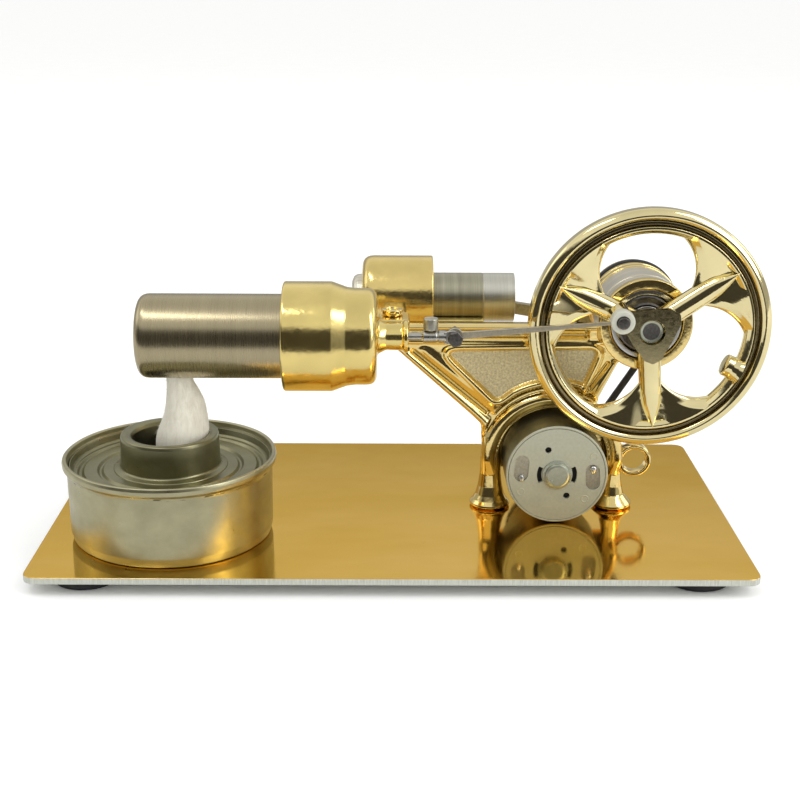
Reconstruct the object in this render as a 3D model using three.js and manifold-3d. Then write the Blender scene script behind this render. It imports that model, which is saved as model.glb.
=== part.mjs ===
// Two-cylinder table-top Stirling engine with a flywheel, a belt-driven dynamo and a spirit burner.
// Millimetres. X runs along the base plate, Y away from the front, Z up from the table.
import * as THREE from 'three';
import { mergeVertices } from 'three/addons/utils/BufferGeometryUtils.js';
import Module from 'manifold-3d';

const wasm = await Module();
wasm.setup();

// ---- Driving dimensions ----
const gap = 0.3;                       // clearance between neighbouring pieces
const seat = 0.05;                     // clearance where flat faces rest on each other

const plate = { width: 165, depth: 90, thickness: 1.6, corner: 3.5 };
const foot = { radius: 8, height: 3, inset: 12.5, insetY: 10.7 };
const deck = foot.height + plate.thickness;          // top of the base plate

const axisZ = deck + 48.5;                           // shaft and both cylinders lie at this height
const shaft = { x: 60.3, radius: 2.9, front: -13.3, back: 17 };
const drum = { radius: 10.9, front: -7, back: 11 };
const bearing = { outer: 8.5, inner: 3.2, width: 6, recess: 0.6 };

const fly = { y: -9.8, radius: 28.6, width: 6, rimInner: 22.5, web: 2.4, hubFront: -13.2, hubBack: -7.4,
  turn: 4.6 };                         // the wheel stands a few degrees past upright
const flyHole = { radius: 11.2, distance: 13.6 };
const flyHub = { radius: 4.6, arm: 4.9, armRadius: 2.7 };
const flyRib = { half: 2.9, tip: 0.6, front: -12.9 };
const flyLug = { radius: 2.2, inner: 18.9 };

const web = { front: -3, back: 2 };                  // the casting's flat wall
const motor = { x: 39.7, z: deck + 12.6, radius: 12.33, front: -12.9, back: 2.1, wall: 0.6, bush: 2.9 };
const motorScrew = { x: 6, z: 5, radius: 1, head: 2 };
const arch = { inner: 13.3, outer: 17.4, foot: deck + 4 };
const legX = [24.3, 55.0];
const legY = (web.front + web.back) / 2;
const eyelet = { x: 60.2, z: deck + 12.5, outer: 3.9, inner: 2.9 };
const arm = { x: -0.2, left: -3.4, right: 3.8, half: 3.1, bore: 1 };   // gas passage between the cylinders
const plug = { y: -10, neck: 1.6, head: 2.45, top: 4.6 };

const hot = { y: -18.5, left: -58.2, radius: 9.7, wall: 0.4, right: -18.3 };
const cold = { left: -25.1, bigEnd: -13.2, coneEnd: -9.8, right: -3.7, big: 12.6, small: 10.8 };
const neck = { radius: 3.15, right: 3.4 };
const displacerBody = { left: -56.3, right: -24, radius: 8.6, wall: 0.6 };
const rod = { radius: 0.92, left: -40, right: 6.5 };
const crossEnd = { left: 6.8, right: 12.3, radius: 1.43, pivotX: 14.2 };

const crank = { radius: 8.4, angle: 155.5, pin: 1.4, front: -19.9, boss: 2.6, bossFront: -14.6 };
const bush = { radius: 2.85, front: -18.9, back: -15.9 };
const link = { front: -18.35, back: -17.45, height: 0.8 };

const power = { y: 21, radius: 10.6, left: -7.9, right: 10.1, tube: 6.25, bore: 5.6, mouth: 30.9,
  lobe: 5.6 };                         // boss on the closed end
const powerPiston = { left: 6.4, right: 18.4, radius: 5.3, skirt: 4.5, pinX: 14.4 };
const powerCrank = { radius: 7.5, angle: 247, pin: 1.5, front: 17.5, back: 23.3 };
const powerRod = { front: 19.8, back: 22.2, height: 3, smallEye: 2.3, bigEye: 3.3 };

const belt = { y: 14.6, width: 1.7, thick: 1.6, big: 10.5, small: 8.8 };
const burner = { x: -52.6, y: -16.9, height: 19.75, rim: 25.2, top: 24.1, bottom: 23.9, wall: 0.5 };
const collar = { outer: 11.6, inner: 8.7, height: 8.2 };
const lidZ = 16.9;

const round = 28;                       // sides of a large circle
const small = 14;                       // sides of a small one
const fine = 44;                        // sides of the largest ones
const rad = THREE.MathUtils.degToRad;

// ---- Materials ----
const paint = (color, metalness, roughness) =>
  new THREE.MeshStandardMaterial({ color, metalness, roughness });
const gold = paint(0xd9b45a, 1, 0.18);
const plateGold = paint(0xc9a55c, 1, 0.08);
const steel = paint(0x9a958a, 1, 0.35);
const darkSteel = paint(0x55524e, 1, 0.4);
const tin = paint(0x96906e, 1, 0.38);
const zincGrey = paint(0xb8b89e, 0.9, 0.4);
const brass = paint(0xb59b62, 1, 0.3);
const rubber = paint(0x161616, 0, 0.8);
const nylon = paint(0xe8e6de, 0, 0.45);
const cotton = paint(0xf2eee4, 0, 0.95);
const copper = paint(0x8a5a3a, 0.8, 0.4);

// ---- Geometry helpers ----
const quarterTurn = Math.PI / 2;

// A turned body: profile points are [radius, distance along the axis], bottom to top.
function turned(profile, axis, sides = round) {
  const body = new THREE.LatheGeometry(profile.map(([r, h]) => new THREE.Vector2(r, h)), sides);
  if (axis === 'x') body.rotateZ(-quarterTurn);
  if (axis === 'z') body.rotateX(quarterTurn);
  return body;
}
const disc = (radius, from, to, axis, sides) =>
  turned([[0, from], [radius, from], [radius, to], [0, to]], axis, sides);
const ring = (inner, outer, from, to, axis, sides) =>
  turned([[inner, from], [outer, from], [outer, to], [inner, to], [inner, from]], axis, sides);

// A flat outline in X and Z, extruded along Y.
function wall(shape, front, back, sides = 12) {
  const body = new THREE.ExtrudeGeometry(shape, {
    depth: back - front, bevelEnabled: false, curveSegments: sides });
  return body.rotateX(quarterTurn).translate(0, back, 0);
}
const block = (x0, x1, y0, y1, z0, z1) => new THREE.BoxGeometry(x1 - x0, y1 - y0, z1 - z0)
  .translate((x0 + x1) / 2, (y0 + y1) / 2, (z0 + z1) / 2);

function circlePath(x, z, radius) {
  const path = new THREE.Path();
  path.absarc(x, z, radius, 0, 2 * Math.PI, true);
  return path;
}
function outline(points) {
  return new THREE.Shape(points.map(([x, z]) => new THREE.Vector2(x, z)));
}

// ---- Booleans ----
function solid(geometry) {
  const plain = geometry.clone();
  plain.deleteAttribute('normal');
  plain.deleteAttribute('uv');
  const merged = mergeVertices(plain, 1e-4);
  return new wasm.Manifold(new wasm.Mesh({
    numProp: 3,
    vertProperties: new Float32Array(merged.attributes.position.array),
    triVerts: new Uint32Array(merged.index.array),
  }));
}
function surface(body) {
  const mesh = body.getMesh();
  const geometry = new THREE.BufferGeometry();
  geometry.setAttribute('position', new THREE.BufferAttribute(mesh.vertProperties, 3));
  geometry.setIndex(new THREE.BufferAttribute(mesh.triVerts, 1));
  geometry.computeVertexNormals();
  return geometry;
}
function combine(parts, cuts = []) {
  let body = solid(parts[0]);
  for (const part of parts.slice(1)) body = body.add(solid(part));
  for (const cut of cuts) body = body.subtract(solid(cut));
  return surface(body);
}

// ---- The assembly ----
const engine = new THREE.Group();
function add(name, geometry, material, x = 0, y = 0, z = 0) {
  const mesh = new THREE.Mesh(geometry, material);
  mesh.name = name;
  mesh.position.set(x, y, z);
  engine.add(mesh);
}

// ---- Base ----
function basePlate() {
  const { width, depth, corner } = plate;
  const w = width / 2 - corner;
  const d = depth / 2 - corner;
  const shape = new THREE.Shape();
  shape.absarc(w, d, corner, 0, quarterTurn);
  shape.absarc(-w, d, corner, quarterTurn, 2 * quarterTurn);
  shape.absarc(-w, -d, corner, 2 * quarterTurn, 3 * quarterTurn);
  shape.absarc(w, -d, corner, 3 * quarterTurn, 4 * quarterTurn);
  for (const x of legX) shape.holes.push(circlePath(x, legY, 1.5 + gap));
  return new THREE.ExtrudeGeometry(shape, {
    depth: plate.thickness, bevelEnabled: false, curveSegments: 6 });
}
add('base_plate', basePlate(), plateGold, 0, 0, foot.height);

const rubberFoot = turned([[0, 0], [foot.radius - 0.3, 0], [foot.radius, 0.4],
  [foot.radius - 0.4, foot.height - seat], [0, foot.height - seat]], 'z', 32);
for (const [side, sx] of [['left', -1], ['right', 1]]) {
  for (const [end, sy] of [['front', -1], ['rear', 1]]) {
    add(`rubber_foot_${end}_${side}`, rubberFoot, rubber,
      sx * (plate.width / 2 - foot.inset), sy * (plate.depth / 2 - foot.insetY));
  }
}

// Pan-head screw through the plate into a leg.
const legScrew = turned([[0, -1.8], [2.2, -1.8], [2.8, -1.2], [2.8, 0], [1.5, 0],
  [1.5, 8], [0, 8]], 'z', small);
['left', 'right'].forEach((side, i) =>
  add(`leg_screw_${side}`, legScrew, steel, legX[i], legY, foot.height - seat));

// ---- Frame casting: wall, motor arch, legs, bearing drum and gas passage ----
// Outlines below are [along X, height above the deck].
const onDeck = (points) => outline(points.map(([x, z]) => [x, deck + z]));

function frameWall() {
  return onDeck([[arm.x, 47.1], [60.3, 47.1], [60.3, 40.5], [57.2, 38], [50.3, 28.8], [39.7, 26.9],
    [24.7, 15.6], [22.1, 16.6], [22, 19.1], [20.5, 23.4], [18.7, 25.8], [4.1, 38.2], [arm.x, 41.6]]);
}
function motorArch() {
  const { inner, outer, foot: bottom } = arch;
  const shape = new THREE.Shape();
  shape.moveTo(motor.x + outer, bottom);
  shape.absarc(motor.x, motor.z, outer, 0, Math.PI);
  shape.lineTo(motor.x - outer, bottom);
  shape.lineTo(motor.x - inner, bottom);
  shape.absarc(motor.x, motor.z, inner, Math.PI, 0, true);
  shape.lineTo(motor.x + inner, bottom);
  return shape;
}
// A wall across the upper half of the arch carries the motor's rear face.
function motorWall() {
  const { x, z, bush: neckRadius } = motor;
  const shape = new THREE.Shape();
  shape.absarc(x, z, arch.inner + 2, rad(-14), rad(194));
  shape.holes.push(circlePath(x, z, neckRadius + 0.5));
  for (const side of [-1, 1]) {
    shape.holes.push(circlePath(x + side * motorScrew.x, z + motorScrew.z, motorScrew.radius + gap));
  }
  return shape;
}
const panelRecess = () => onDeck([[12.6, 41], [49.6, 41.3], [45.2, 31], [40, 31.6], [33.5, 30.8],
  [27.2, 27.6]]);
function legFlare(x) {
  const profile = [[0, 0], [3.9, 0], [4.8, 1.3], [4.6, 2], [3.3, 5], [2.5, 9], [2.1, 12], [0, 12]];
  return turned(profile, 'z', small).translate(x, legY, deck + seat);
}
function frameCasting() {
  const eye = new THREE.Shape().absarc(eyelet.x, eyelet.z, eyelet.outer, 0, 2 * Math.PI);
  const shaftHole = (r, from, to) => disc(r, from, to, 'y').translate(shaft.x, 0, axisZ);
  const parts = [
    wall(frameWall(), web.front, web.back),
    wall(motorArch(), web.front, web.back, 18),
    wall(motorWall(), web.back - 0.2, motor.back + 2.3, 10),
    disc(drum.radius, drum.front, drum.back, 'y').translate(shaft.x, 0, axisZ),
    wall(eye, web.front + 1, web.back - 1, small / 2),
    block(arm.left, arm.right, hot.y + neck.radius, power.y - power.radius, axisZ - arm.half,
      axisZ + arm.half),
    legFlare(legX[0]), legFlare(legX[1]),
  ];
  const seatDepth = bearing.width + bearing.recess;
  const cuts = [
    shaftHole(bearing.outer - 1.2, drum.front - 1, drum.back + 1),
    shaftHole(bearing.outer + gap, drum.front - 1, drum.front + seatDepth),
    shaftHole(bearing.outer + gap, drum.back - seatDepth, drum.back + 1),
    wall(panelRecess(), web.front - 1, web.front + 1),
    disc(eyelet.inner, web.front - 1, web.back + 1, 'y', small).translate(eyelet.x, 0, eyelet.z),
    disc(arm.bore, hot.y, power.y, 'y', 16).translate(arm.x, 0, axisZ),
    // saddles that clear the neck and the power cylinder's housing
    disc(neck.radius + gap, -6, 6, 'x', small).translate(0, hot.y, axisZ),
    disc(neck.radius + 1 + gap, -6, -2.2, 'x', small).translate(0, hot.y, axisZ),
    disc(neck.radius + 1 + gap, 2, 6, 'x', small).translate(0, hot.y, axisZ),
    disc(power.radius + gap, -12, 12, 'x').translate(0, power.y, axisZ),
    disc(motor.radius + gap, web.front - 1, motor.back + gap, 'y').translate(motor.x, 0, motor.z),
    disc(plug.neck + gap, 0.5, plug.top, 'z', 16).translate(arm.x, plug.y, axisZ),   // the plug's seat
  ];
  for (const x of legX) cuts.push(disc(1.5 + gap, -1, 8, 'z', small).translate(x, legY, deck));
  return combine(parts, cuts);
}
add('frame_casting', frameCasting(), gold);

// Screw plug that closes the drilling in the gas passage.
const { neck: plugNeck, head: plugHead, top: plugTop } = plug;
add('passage_plug', turned([[0, 0.9], [plugNeck, 0.9], [plugNeck, arm.half + seat],
  [plugHead, arm.half + seat], [plugHead, plugTop], [plugNeck, plugTop], [plugNeck, plugTop - 0.6],
  [0, plugTop - 0.6]], 'z', small), brass, arm.x, plug.y, axisZ);

// ---- Displacer cylinder ----
function displacerHousing() {
  const body = turned([[0, cold.left], [cold.big - 0.4, cold.left], [cold.big, cold.left + 0.5],
    [cold.big, cold.bigEnd - 0.6], [cold.big - 0.5, cold.bigEnd + 0.9], [cold.small + 0.2, cold.coneEnd],
    [cold.small, cold.coneEnd + 0.9], [cold.small, cold.right - 2.4], [cold.small - 0.7, cold.right - 0.7],
    [cold.small - 2.4, cold.right], [neck.radius + 1, cold.right], [neck.radius, cold.right + 1],
    [neck.radius, neck.right - 0.9], [neck.radius + 0.6, neck.right - 0.2], [neck.radius + 0.5, neck.right],
    [0, neck.right]], 'x');
  const cuts = [
    disc(hot.radius + gap, cold.left - 1, hot.right + 1.4, 'x'),
    disc(hot.radius - 0.3, hot.right, cold.right - 3.8, 'x'),
    disc(2, cold.right - 4, arm.x + 1, 'x', small),
    disc(rod.radius + gap, -6, neck.right + 1, 'x', small),
    disc(arm.bore, 0, 6, 'y', 16).translate(arm.x, 0, 0),
  ];
  return combine([body], cuts);
}
add('displacer_housing', displacerHousing(), gold, 0, hot.y, axisZ);

add('hot_cap', turned([[0, hot.left], [hot.radius - 2.5, hot.left], [hot.radius - 1.2, hot.left + 0.4],
  [hot.radius - 0.4, hot.left + 1.2], [hot.radius, hot.left + 2.5], [hot.radius, hot.right],
  [hot.radius - hot.wall, hot.right], [hot.radius - hot.wall, hot.left + 2.5],
  [hot.radius - 1.4, hot.left + 1], [hot.radius - 2.6, hot.left + hot.wall], [0, hot.left + hot.wall]],
'x'), steel, 0, hot.y, axisZ);

add('hot_cap_gasket', ring(hot.radius - 0.3, hot.radius + 0.1, hot.right + gap, hot.right + 1.1, 'x'),
  rubber, 0, hot.y, axisZ);

// Light hollow displacer, open only where its rod enters.
function displacer() {
  const { left, right, radius, wall: skin } = displacerBody;
  const bore = rod.radius + gap;
  return turned([[0, left], [radius - 1.5, left], [radius, left + 1.5], [radius, right - 1],
    [radius - 1, right], [bore, right], [bore, right - 1.2], [radius - 1 - skin, right - 1.2],
    [radius - skin, right - 2.2], [radius - skin, left + 1.8], [radius - 2, left + skin],
    [0, left + skin]], 'x', 36);
}
add('displacer', displacer(), steel, 0, hot.y, axisZ);
add('displacer_rod', disc(rod.radius, rod.left, rod.right, 'x', 16), steel, 0, hot.y, axisZ);

// Rod end: a collar with a flat tongue for the pivot bolt. The tongue stands in front of the link.
function rodEnd() {
  const tongueShape = outline([[crossEnd.right - 1.5, -1.3], [crossEnd.pivotX, -1.7],
    [crossEnd.pivotX + 1.3, -1.2], [crossEnd.pivotX + 1.7, 0], [crossEnd.pivotX + 1.3, 1.2],
    [crossEnd.pivotX, 1.7], [crossEnd.right - 1.5, 1.3]]);
  const parts = [
    disc(crossEnd.radius, crossEnd.left, crossEnd.right, 'x', small),
    wall(tongueShape, -1.2, -0.2),
  ];
  const cuts = [
    disc(1, -3, 3, 'y', 16).translate(crossEnd.pivotX, 0, 0),
    disc(0.8, 0.2, 3, 'z', 12).translate(8.6, 0, 0),
    wall(outline([[11.9, -3], [13, -3], [13, 3], [11.9, 3]]), 0.1, 3),
  ];
  return combine(parts, cuts);
}
add('rod_end', rodEnd(), steel, 0, hot.y, axisZ);

// Cheese-head clamp screw on top of the rod end.
add('clamp_screw', combine([turned([[0, 0.5], [0.5, 0.5], [0.5, 1.7], [1.75, 1.7], [1.75, 4.1],
  [1.5, 4.4], [0, 4.4]], 'z', small)], [block(-3, 3, -0.25, 0.25, 3.6, 5)]), zincGrey,
8.6, hot.y, axisZ);

// Hex-head pivot bolt, front to back through tongue and link, and its nut.
add('pivot_bolt', combine([disc(1.85, -3, -1.5, 'y', 6), disc(0.7, -1.6, 3.2, 'y', 16)]), darkSteel,
  crossEnd.pivotX, hot.y, axisZ);
add('pivot_nut', ring(1, 1.85, 1.35, 2.7, 'y', 6), darkSteel, crossEnd.pivotX, hot.y, axisZ);

// ---- Front connecting rod ----
const crankPinX = shaft.x + crank.radius * Math.cos(rad(crank.angle));
const crankPinZ = axisZ + crank.radius * Math.sin(rad(crank.angle));
const linkDX = crankPinX - crossEnd.pivotX;
const linkDZ = crankPinZ - axisZ;
const linkLength = Math.hypot(linkDX, linkDZ);

// A bar with an eye at one or both ends, built along +X from the origin.
function bar(length, height, front, back, eyeA, holeA, eyeB, holeB) {
  const end = eyeB > 0 ? length : length - bush.radius - gap;
  const parts = [block(0, end, front, back, -height / 2, height / 2), disc(eyeA, front, back, 'y', small)];
  const cuts = [disc(holeA, front - 1, back + 1, 'y', small)];
  if (eyeB > 0) {
    parts.push(disc(eyeB, front, back, 'y', small).translate(length, 0, 0));
    cuts.push(disc(holeB, front - 1, back + 1, 'y', small).translate(length, 0, 0));
  }
  return combine(parts, cuts);
}
const linkBar = bar(linkLength, link.height, link.front, link.back, 1.9, 0.7 + gap, 0, 0)
  .rotateY(-Math.atan2(linkDZ, linkDX));
add('displacer_link', linkBar, steel, crossEnd.pivotX, 0, axisZ);
add('crank_bush', ring(crank.pin + gap, bush.radius, bush.front, bush.back, 'y'), nylon,
  crankPinX, 0, crankPinZ);
add('crank_pin', disc(crank.pin, crank.front, crank.bossFront - gap, 'y', small), steel,
  crankPinX, 0, crankPinZ);

// ---- Shaft, flywheel and bearings ----
function flywheel() {
  const { y, radius, width, rimInner, web: skin, hubFront, hubBack, turn } = fly;
  const at = (distance, angle) => [distance * Math.cos(rad(angle)), distance * Math.sin(rad(angle))];
  const [front, back] = [y - skin / 2, y + skin / 2];
  const windows = [90, 210, 330].map((angle) => {
    const [holeX, holeZ] = at(flyHole.distance, angle + turn);
    return disc(flyHole.radius, front - 1, back + 1, 'y').translate(holeX, 0, holeZ);
  });
  const face = combine([disc(rimInner + 1, front, back, 'y', fine)], windows);
  const bevel = 1.4;                   // how far the rim's corners are turned down
  const rim = turned([[rimInner, front], [rimInner + bevel, y - width / 2],
    [radius - bevel, y - width / 2], [radius, y - bevel], [radius, y + bevel],
    [radius - bevel, y + width / 2], [rimInner + bevel, y + width / 2], [rimInner, back],
    [rimInner, front]], 'y', fine);
  const parts = [rim, face, disc(flyHub.radius, hubFront, hubBack, 'y')];
  for (const angle of [30 + turn, 150 + turn, 270 + turn]) {
    // each rib narrows from the hub to the rim
    const rib = outline([[0, -flyRib.half], [rimInner + 1, -flyRib.tip], [rimInner + 1, flyRib.tip],
      [0, flyRib.half]]);
    parts.push(wall(rib, flyRib.front, back).rotateY(-rad(angle)));
    const [armX, armZ] = at(flyHub.arm, angle);
    parts.push(disc(flyHub.armRadius, hubFront, hubBack, 'y', small).translate(armX, 0, armZ));
  }
  const [bossX, bossZ] = at(crank.radius, crank.angle);
  parts.push(disc(crank.boss, crank.bossFront, hubBack, 'y', small).translate(bossX, 0, bossZ));
  // balance lug: a peg that points from the rim to the hub
  parts.push(disc(flyLug.radius, flyLug.inner, rimInner + 1, 'x', small).translate(0, y, 0)
    .rotateY(-rad(330 + turn)));
  return combine(parts, [disc(shaft.radius + gap, -20, 0, 'y')]);
}
add('flywheel', flywheel(), gold, shaft.x, 0, axisZ);

const { front: shaftFront, back: shaftBack, radius: shaftRadius } = shaft;
add('crankshaft', turned([[0, shaftFront], [shaftRadius - 0.5, shaftFront],
  [shaftRadius, shaftFront + 0.5], [shaftRadius, shaftBack - 0.5], [shaftRadius - 0.5, shaftBack],
  [0, shaftBack]], 'y', 32), steel, shaft.x, 0, axisZ);

// Two shielded ball bearings: outer ring, shield and inner ring each.
for (const [end, start] of [['front', drum.front + bearing.recess],
  ['rear', drum.back - bearing.recess - bearing.width]]) {
  const stop = start + bearing.width;
  add(`bearing_outer_${end}`, ring(7.2, bearing.outer, start, stop, 'y'), steel, shaft.x, 0, axisZ);
  add(`bearing_shield_${end}`, ring(4.7, 6.9, start + 0.2, start + 0.6, 'y'), darkSteel, shaft.x, 0, axisZ);
  add(`bearing_inner_${end}`, ring(bearing.inner, 4.4, start, stop, 'y'), steel, shaft.x, 0, axisZ);
}

// ---- Belt drive ----
function grooved(rim, floor, front, back, bore) {
  const mid = belt.y;
  const lip = 0.5;
  const half = belt.width / 2 + gap;
  return turned([[bore, front], [rim - 0.3, front], [rim, front + 0.3], [rim, mid - half - lip],
    [floor, mid - half], [floor, mid + half], [rim, mid + half + lip], [rim, back - 0.3],
    [rim - 0.3, back], [bore, back], [bore, front]], 'y');
}
add('drive_pulley', grooved(belt.big + 0.5, belt.big - belt.thick / 2 - gap, drum.back + 0.4, 17.2,
  shaft.radius + gap), gold, shaft.x, 0, axisZ);
add('motor_pulley', grooved(belt.small + 0.5, belt.small - belt.thick / 2 - gap, 12.2, 17, 1.3), nylon,
  motor.x, 0, motor.z);

// Taut loop round both pulleys: two arcs joined by the outer tangents.
function beltLoop(offset, hole) {
  const dx = shaft.x - motor.x;
  const dz = axisZ - motor.z;
  const slope = Math.atan2(dz, dx);
  const lean = Math.acos((belt.big - belt.small) / Math.hypot(dx, dz));
  const path = hole ? new THREE.Path() : new THREE.Shape();
  path.absarc(shaft.x, axisZ, belt.big + offset, slope - lean, slope + lean);
  path.absarc(motor.x, motor.z, belt.small + offset, slope + lean, slope - lean + 2 * Math.PI);
  return path;
}
const beltShape = beltLoop(belt.thick / 2, false);
beltShape.holes.push(beltLoop(-belt.thick / 2, true));
add('drive_belt', wall(beltShape, belt.y - belt.width / 2, belt.y + belt.width / 2, 16), rubber);

// ---- Dynamo ----
// The can is closed at the back, round the bush, and the end plate closes its front.
const canInner = motor.radius - motor.wall;
add('motor_can', turned([[motor.bush + gap, motor.back], [motor.bush + gap, motor.back - 0.7],
  [canInner, motor.back - 0.7], [canInner, motor.front], [motor.radius, motor.front],
  [motor.radius, motor.back], [motor.bush + gap, motor.back]], 'y'), zincGrey, motor.x, 0, motor.z);

// Each terminal comes out of an oblong slot in the end plate.
const terminal = { x: 8.6, slotRadius: 1.7, slotHalf: 1.6 };
function motorEnd() {
  const { front } = motor;
  const face = new THREE.Shape().absarc(0, 0, canInner - gap, 0, 2 * Math.PI);
  for (const x of [-terminal.x, terminal.x]) {
    const slot = new THREE.Path();
    slot.absarc(x, terminal.slotHalf, terminal.slotRadius, Math.PI, 0, true);
    slot.absarc(x, -terminal.slotHalf, terminal.slotRadius, 0, Math.PI, true);
    face.holes.push(slot);
  }
  const parts = [wall(face, front, front + 1), disc(4, front - 0.3, front + 1, 'y'),
    disc(3.1, front - 1.3, front + 1.5, 'y')];
  return combine(parts, [disc(1.3, front - 0.5, front + 3, 'y', 16)]);
}
add('motor_end_plate', motorEnd(), zincGrey, motor.x, 0, motor.z);

for (const [side, x, z] of [['left', -terminal.x, -0.6], ['right', terminal.x, 0.8]]) {
  add(`motor_terminal_${side}`, new THREE.BoxGeometry(1.6, 2.2, 1.8), brass,
    motor.x + x, motor.front + 1.2, motor.z + z);
}
add('motor_magnet', ring(9.6, 11.4, -9.5, 0, 'y'), darkSteel, motor.x, 0, motor.z);
add('motor_rotor', ring(1.3, 9.1, -9, -1, 'y', 36), copper, motor.x, 0, motor.z);
add('motor_bush', ring(1.3, motor.bush, 0.5, 4, 'y', small), brass, motor.x, 0, motor.z);
add('motor_shaft', disc(1, -12.6, 17.6, 'y', 16), steel, motor.x, 0, motor.z);
const { radius: screwRadius, head: screwHead } = motorScrew;
const motorScrewBody = turned([[0, 2.5], [screwRadius, 2.5], [screwRadius, 4.7], [screwHead, 4.7],
  [screwHead, 5.5], [screwHead - 0.4, 6], [0, 6]], 'y', small);
for (const [side, sx] of [['left', -1], ['right', 1]]) {
  add(`motor_screw_${side}`, motorScrewBody, steel, motor.x + sx * motorScrew.x, 0,
    motor.z + motorScrew.z);
}

// ---- Power cylinder ----
function powerHousing() {
  const { radius, left, right, lobe } = power;
  const body = turned([[0, left - 2.7], [lobe - 1.3, left - 2.7], [lobe - 0.3, left - 2.1],
    [lobe, left - 0.9], [lobe, left], [radius - 2.4, left], [radius - 0.8, left + 0.8], [radius, left + 2.4],
    [radius, right - 0.4], [radius - 0.4, right], [0, right]], 'x');
  // cradle under the cylinder tube
  const cradle = ring(power.tube + gap, 8, right - 1, 23.1, 'x');
  const keep = block(right - 2, 24, -5.5, 5.5, -9, -3.5);
  const cradleBody = solid(cradle).intersect(solid(keep));
  const cuts = [disc(power.tube + gap, 2, right + 20, 'x'), disc(power.bore, -3, 3, 'x'),
    disc(arm.bore, -14, -3, 'y', 16).translate(arm.x, 0, 0)];
  let housing = solid(body).add(cradleBody);
  for (const cut of cuts) housing = housing.subtract(solid(cut));
  return surface(housing);
}
add('power_housing', powerHousing(), gold, 0, power.y, axisZ);
add('power_cylinder', ring(power.bore, power.tube, 2 + gap, power.mouth, 'x'), steel, 0, power.y, axisZ);

function graphitePiston() {
  const { left, right, radius, skirt, pinX } = powerPiston;
  const body = turned([[0, left], [radius, left], [radius, right], [skirt, right], [skirt, left + 3],
    [0, left + 3]], 'x', 36);
  return combine([body], [disc(1 + gap, -8, 8, 'y', small).translate(pinX, 0, 0)]);
}
add('power_piston', graphitePiston(), darkSteel, 0, power.y, axisZ);
add('wrist_pin', disc(1, -5, 5, 'y', 16), steel, powerPiston.pinX, power.y, axisZ);

const powerPinX = shaft.x + powerCrank.radius * Math.cos(rad(powerCrank.angle));
const powerPinZ = axisZ + powerCrank.radius * Math.sin(rad(powerCrank.angle));
const powerDX = powerPinX - powerPiston.pinX;
const powerDZ = powerPinZ - axisZ;
const powerBar = bar(Math.hypot(powerDX, powerDZ), powerRod.height, powerRod.front, powerRod.back,
  powerRod.smallEye, 1 + gap, powerRod.bigEye, powerCrank.pin + gap)
  .rotateY(-Math.atan2(powerDZ, powerDX));
add('power_connecting_rod', powerBar, brass, powerPiston.pinX, 0, axisZ);
add('power_crank_pin', turned([[0, powerCrank.front], [powerCrank.pin, powerCrank.front],
  [powerCrank.pin, powerRod.back + gap], [2.5, powerRod.back + gap], [2.5, powerCrank.back + 0.2],
  [0, powerCrank.back + 0.2]], 'y', small), steel, powerPinX, 0, powerPinZ);

// ---- Spirit burner ----
function burnerCan() {
  const { height, rim, top, bottom, wall: skin } = burner;
  return turned([[0, 0], [bottom - 0.6, 0], [bottom, 0.6], [top, height - 2.6], [rim, height - 1.8],
    [rim, height - 0.5], [rim - 0.6, height], [top - skin, height - 0.4], [bottom - skin, skin],
    [0, skin]], 'z', fine);
}
function burnerLid() {
  const edge = burner.top - burner.wall - gap;
  return turned([[collar.inner, lidZ - 0.4], [edge, lidZ - 0.4], [edge, lidZ + 1.2],
    [edge - 0.5, lidZ + 1.2], [edge - 0.5, lidZ + 0.1], [collar.inner, lidZ + 0.1],
    [collar.inner, lidZ - 0.4]], 'z', fine);
}
function wickCollar() {
  const { outer, inner, height } = collar;
  const base = lidZ + 0.1 + seat;
  const top = base + height;
  return turned([[inner, base], [outer + 0.3, base], [outer, base + 0.5], [outer, top - 0.5],
    [outer - 0.5, top], [inner + 0.5, top], [inner, top - 0.5], [inner, base]], 'z');
}
// The wick leans a little as it rises from the collar to just under the hot cap.
function wick() {
  const body = turned([[0, 5], [5.2, 5], [6, 14], [6.1, 23], [5.8, 25.5], [5.1, 28], [4.6, 31], [3.6, 35],
    [2.9, 38.3], [0, 38.7]], 'z', small);
  const place = body.attributes.position;
  for (let i = 0; i < place.count; i += 1) {
    const rise = Math.max(0, place.getZ(i) - 25) / 13.7;
    place.setX(i, place.getX(i) + 1.2 * Math.sin(Math.PI * rise) - 0.2 * rise);
  }
  return body;
}
add('burner_can', burnerCan(), tin, burner.x, burner.y, deck + seat);
add('burner_lid', burnerLid(), tin, burner.x, burner.y, deck + seat);
add('wick_collar', wickCollar(), tin, burner.x, burner.y, deck + seat);
add('wick', wick(), cotton, burner.x + 2.2, burner.y, deck + seat);

// The origin sits under the middle of the whole engine, whose flywheel overhangs the plate.
const overhang = shaft.x + fly.radius - plate.width / 2;
engine.position.x = -overhang / 2;

export default engine;
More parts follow.
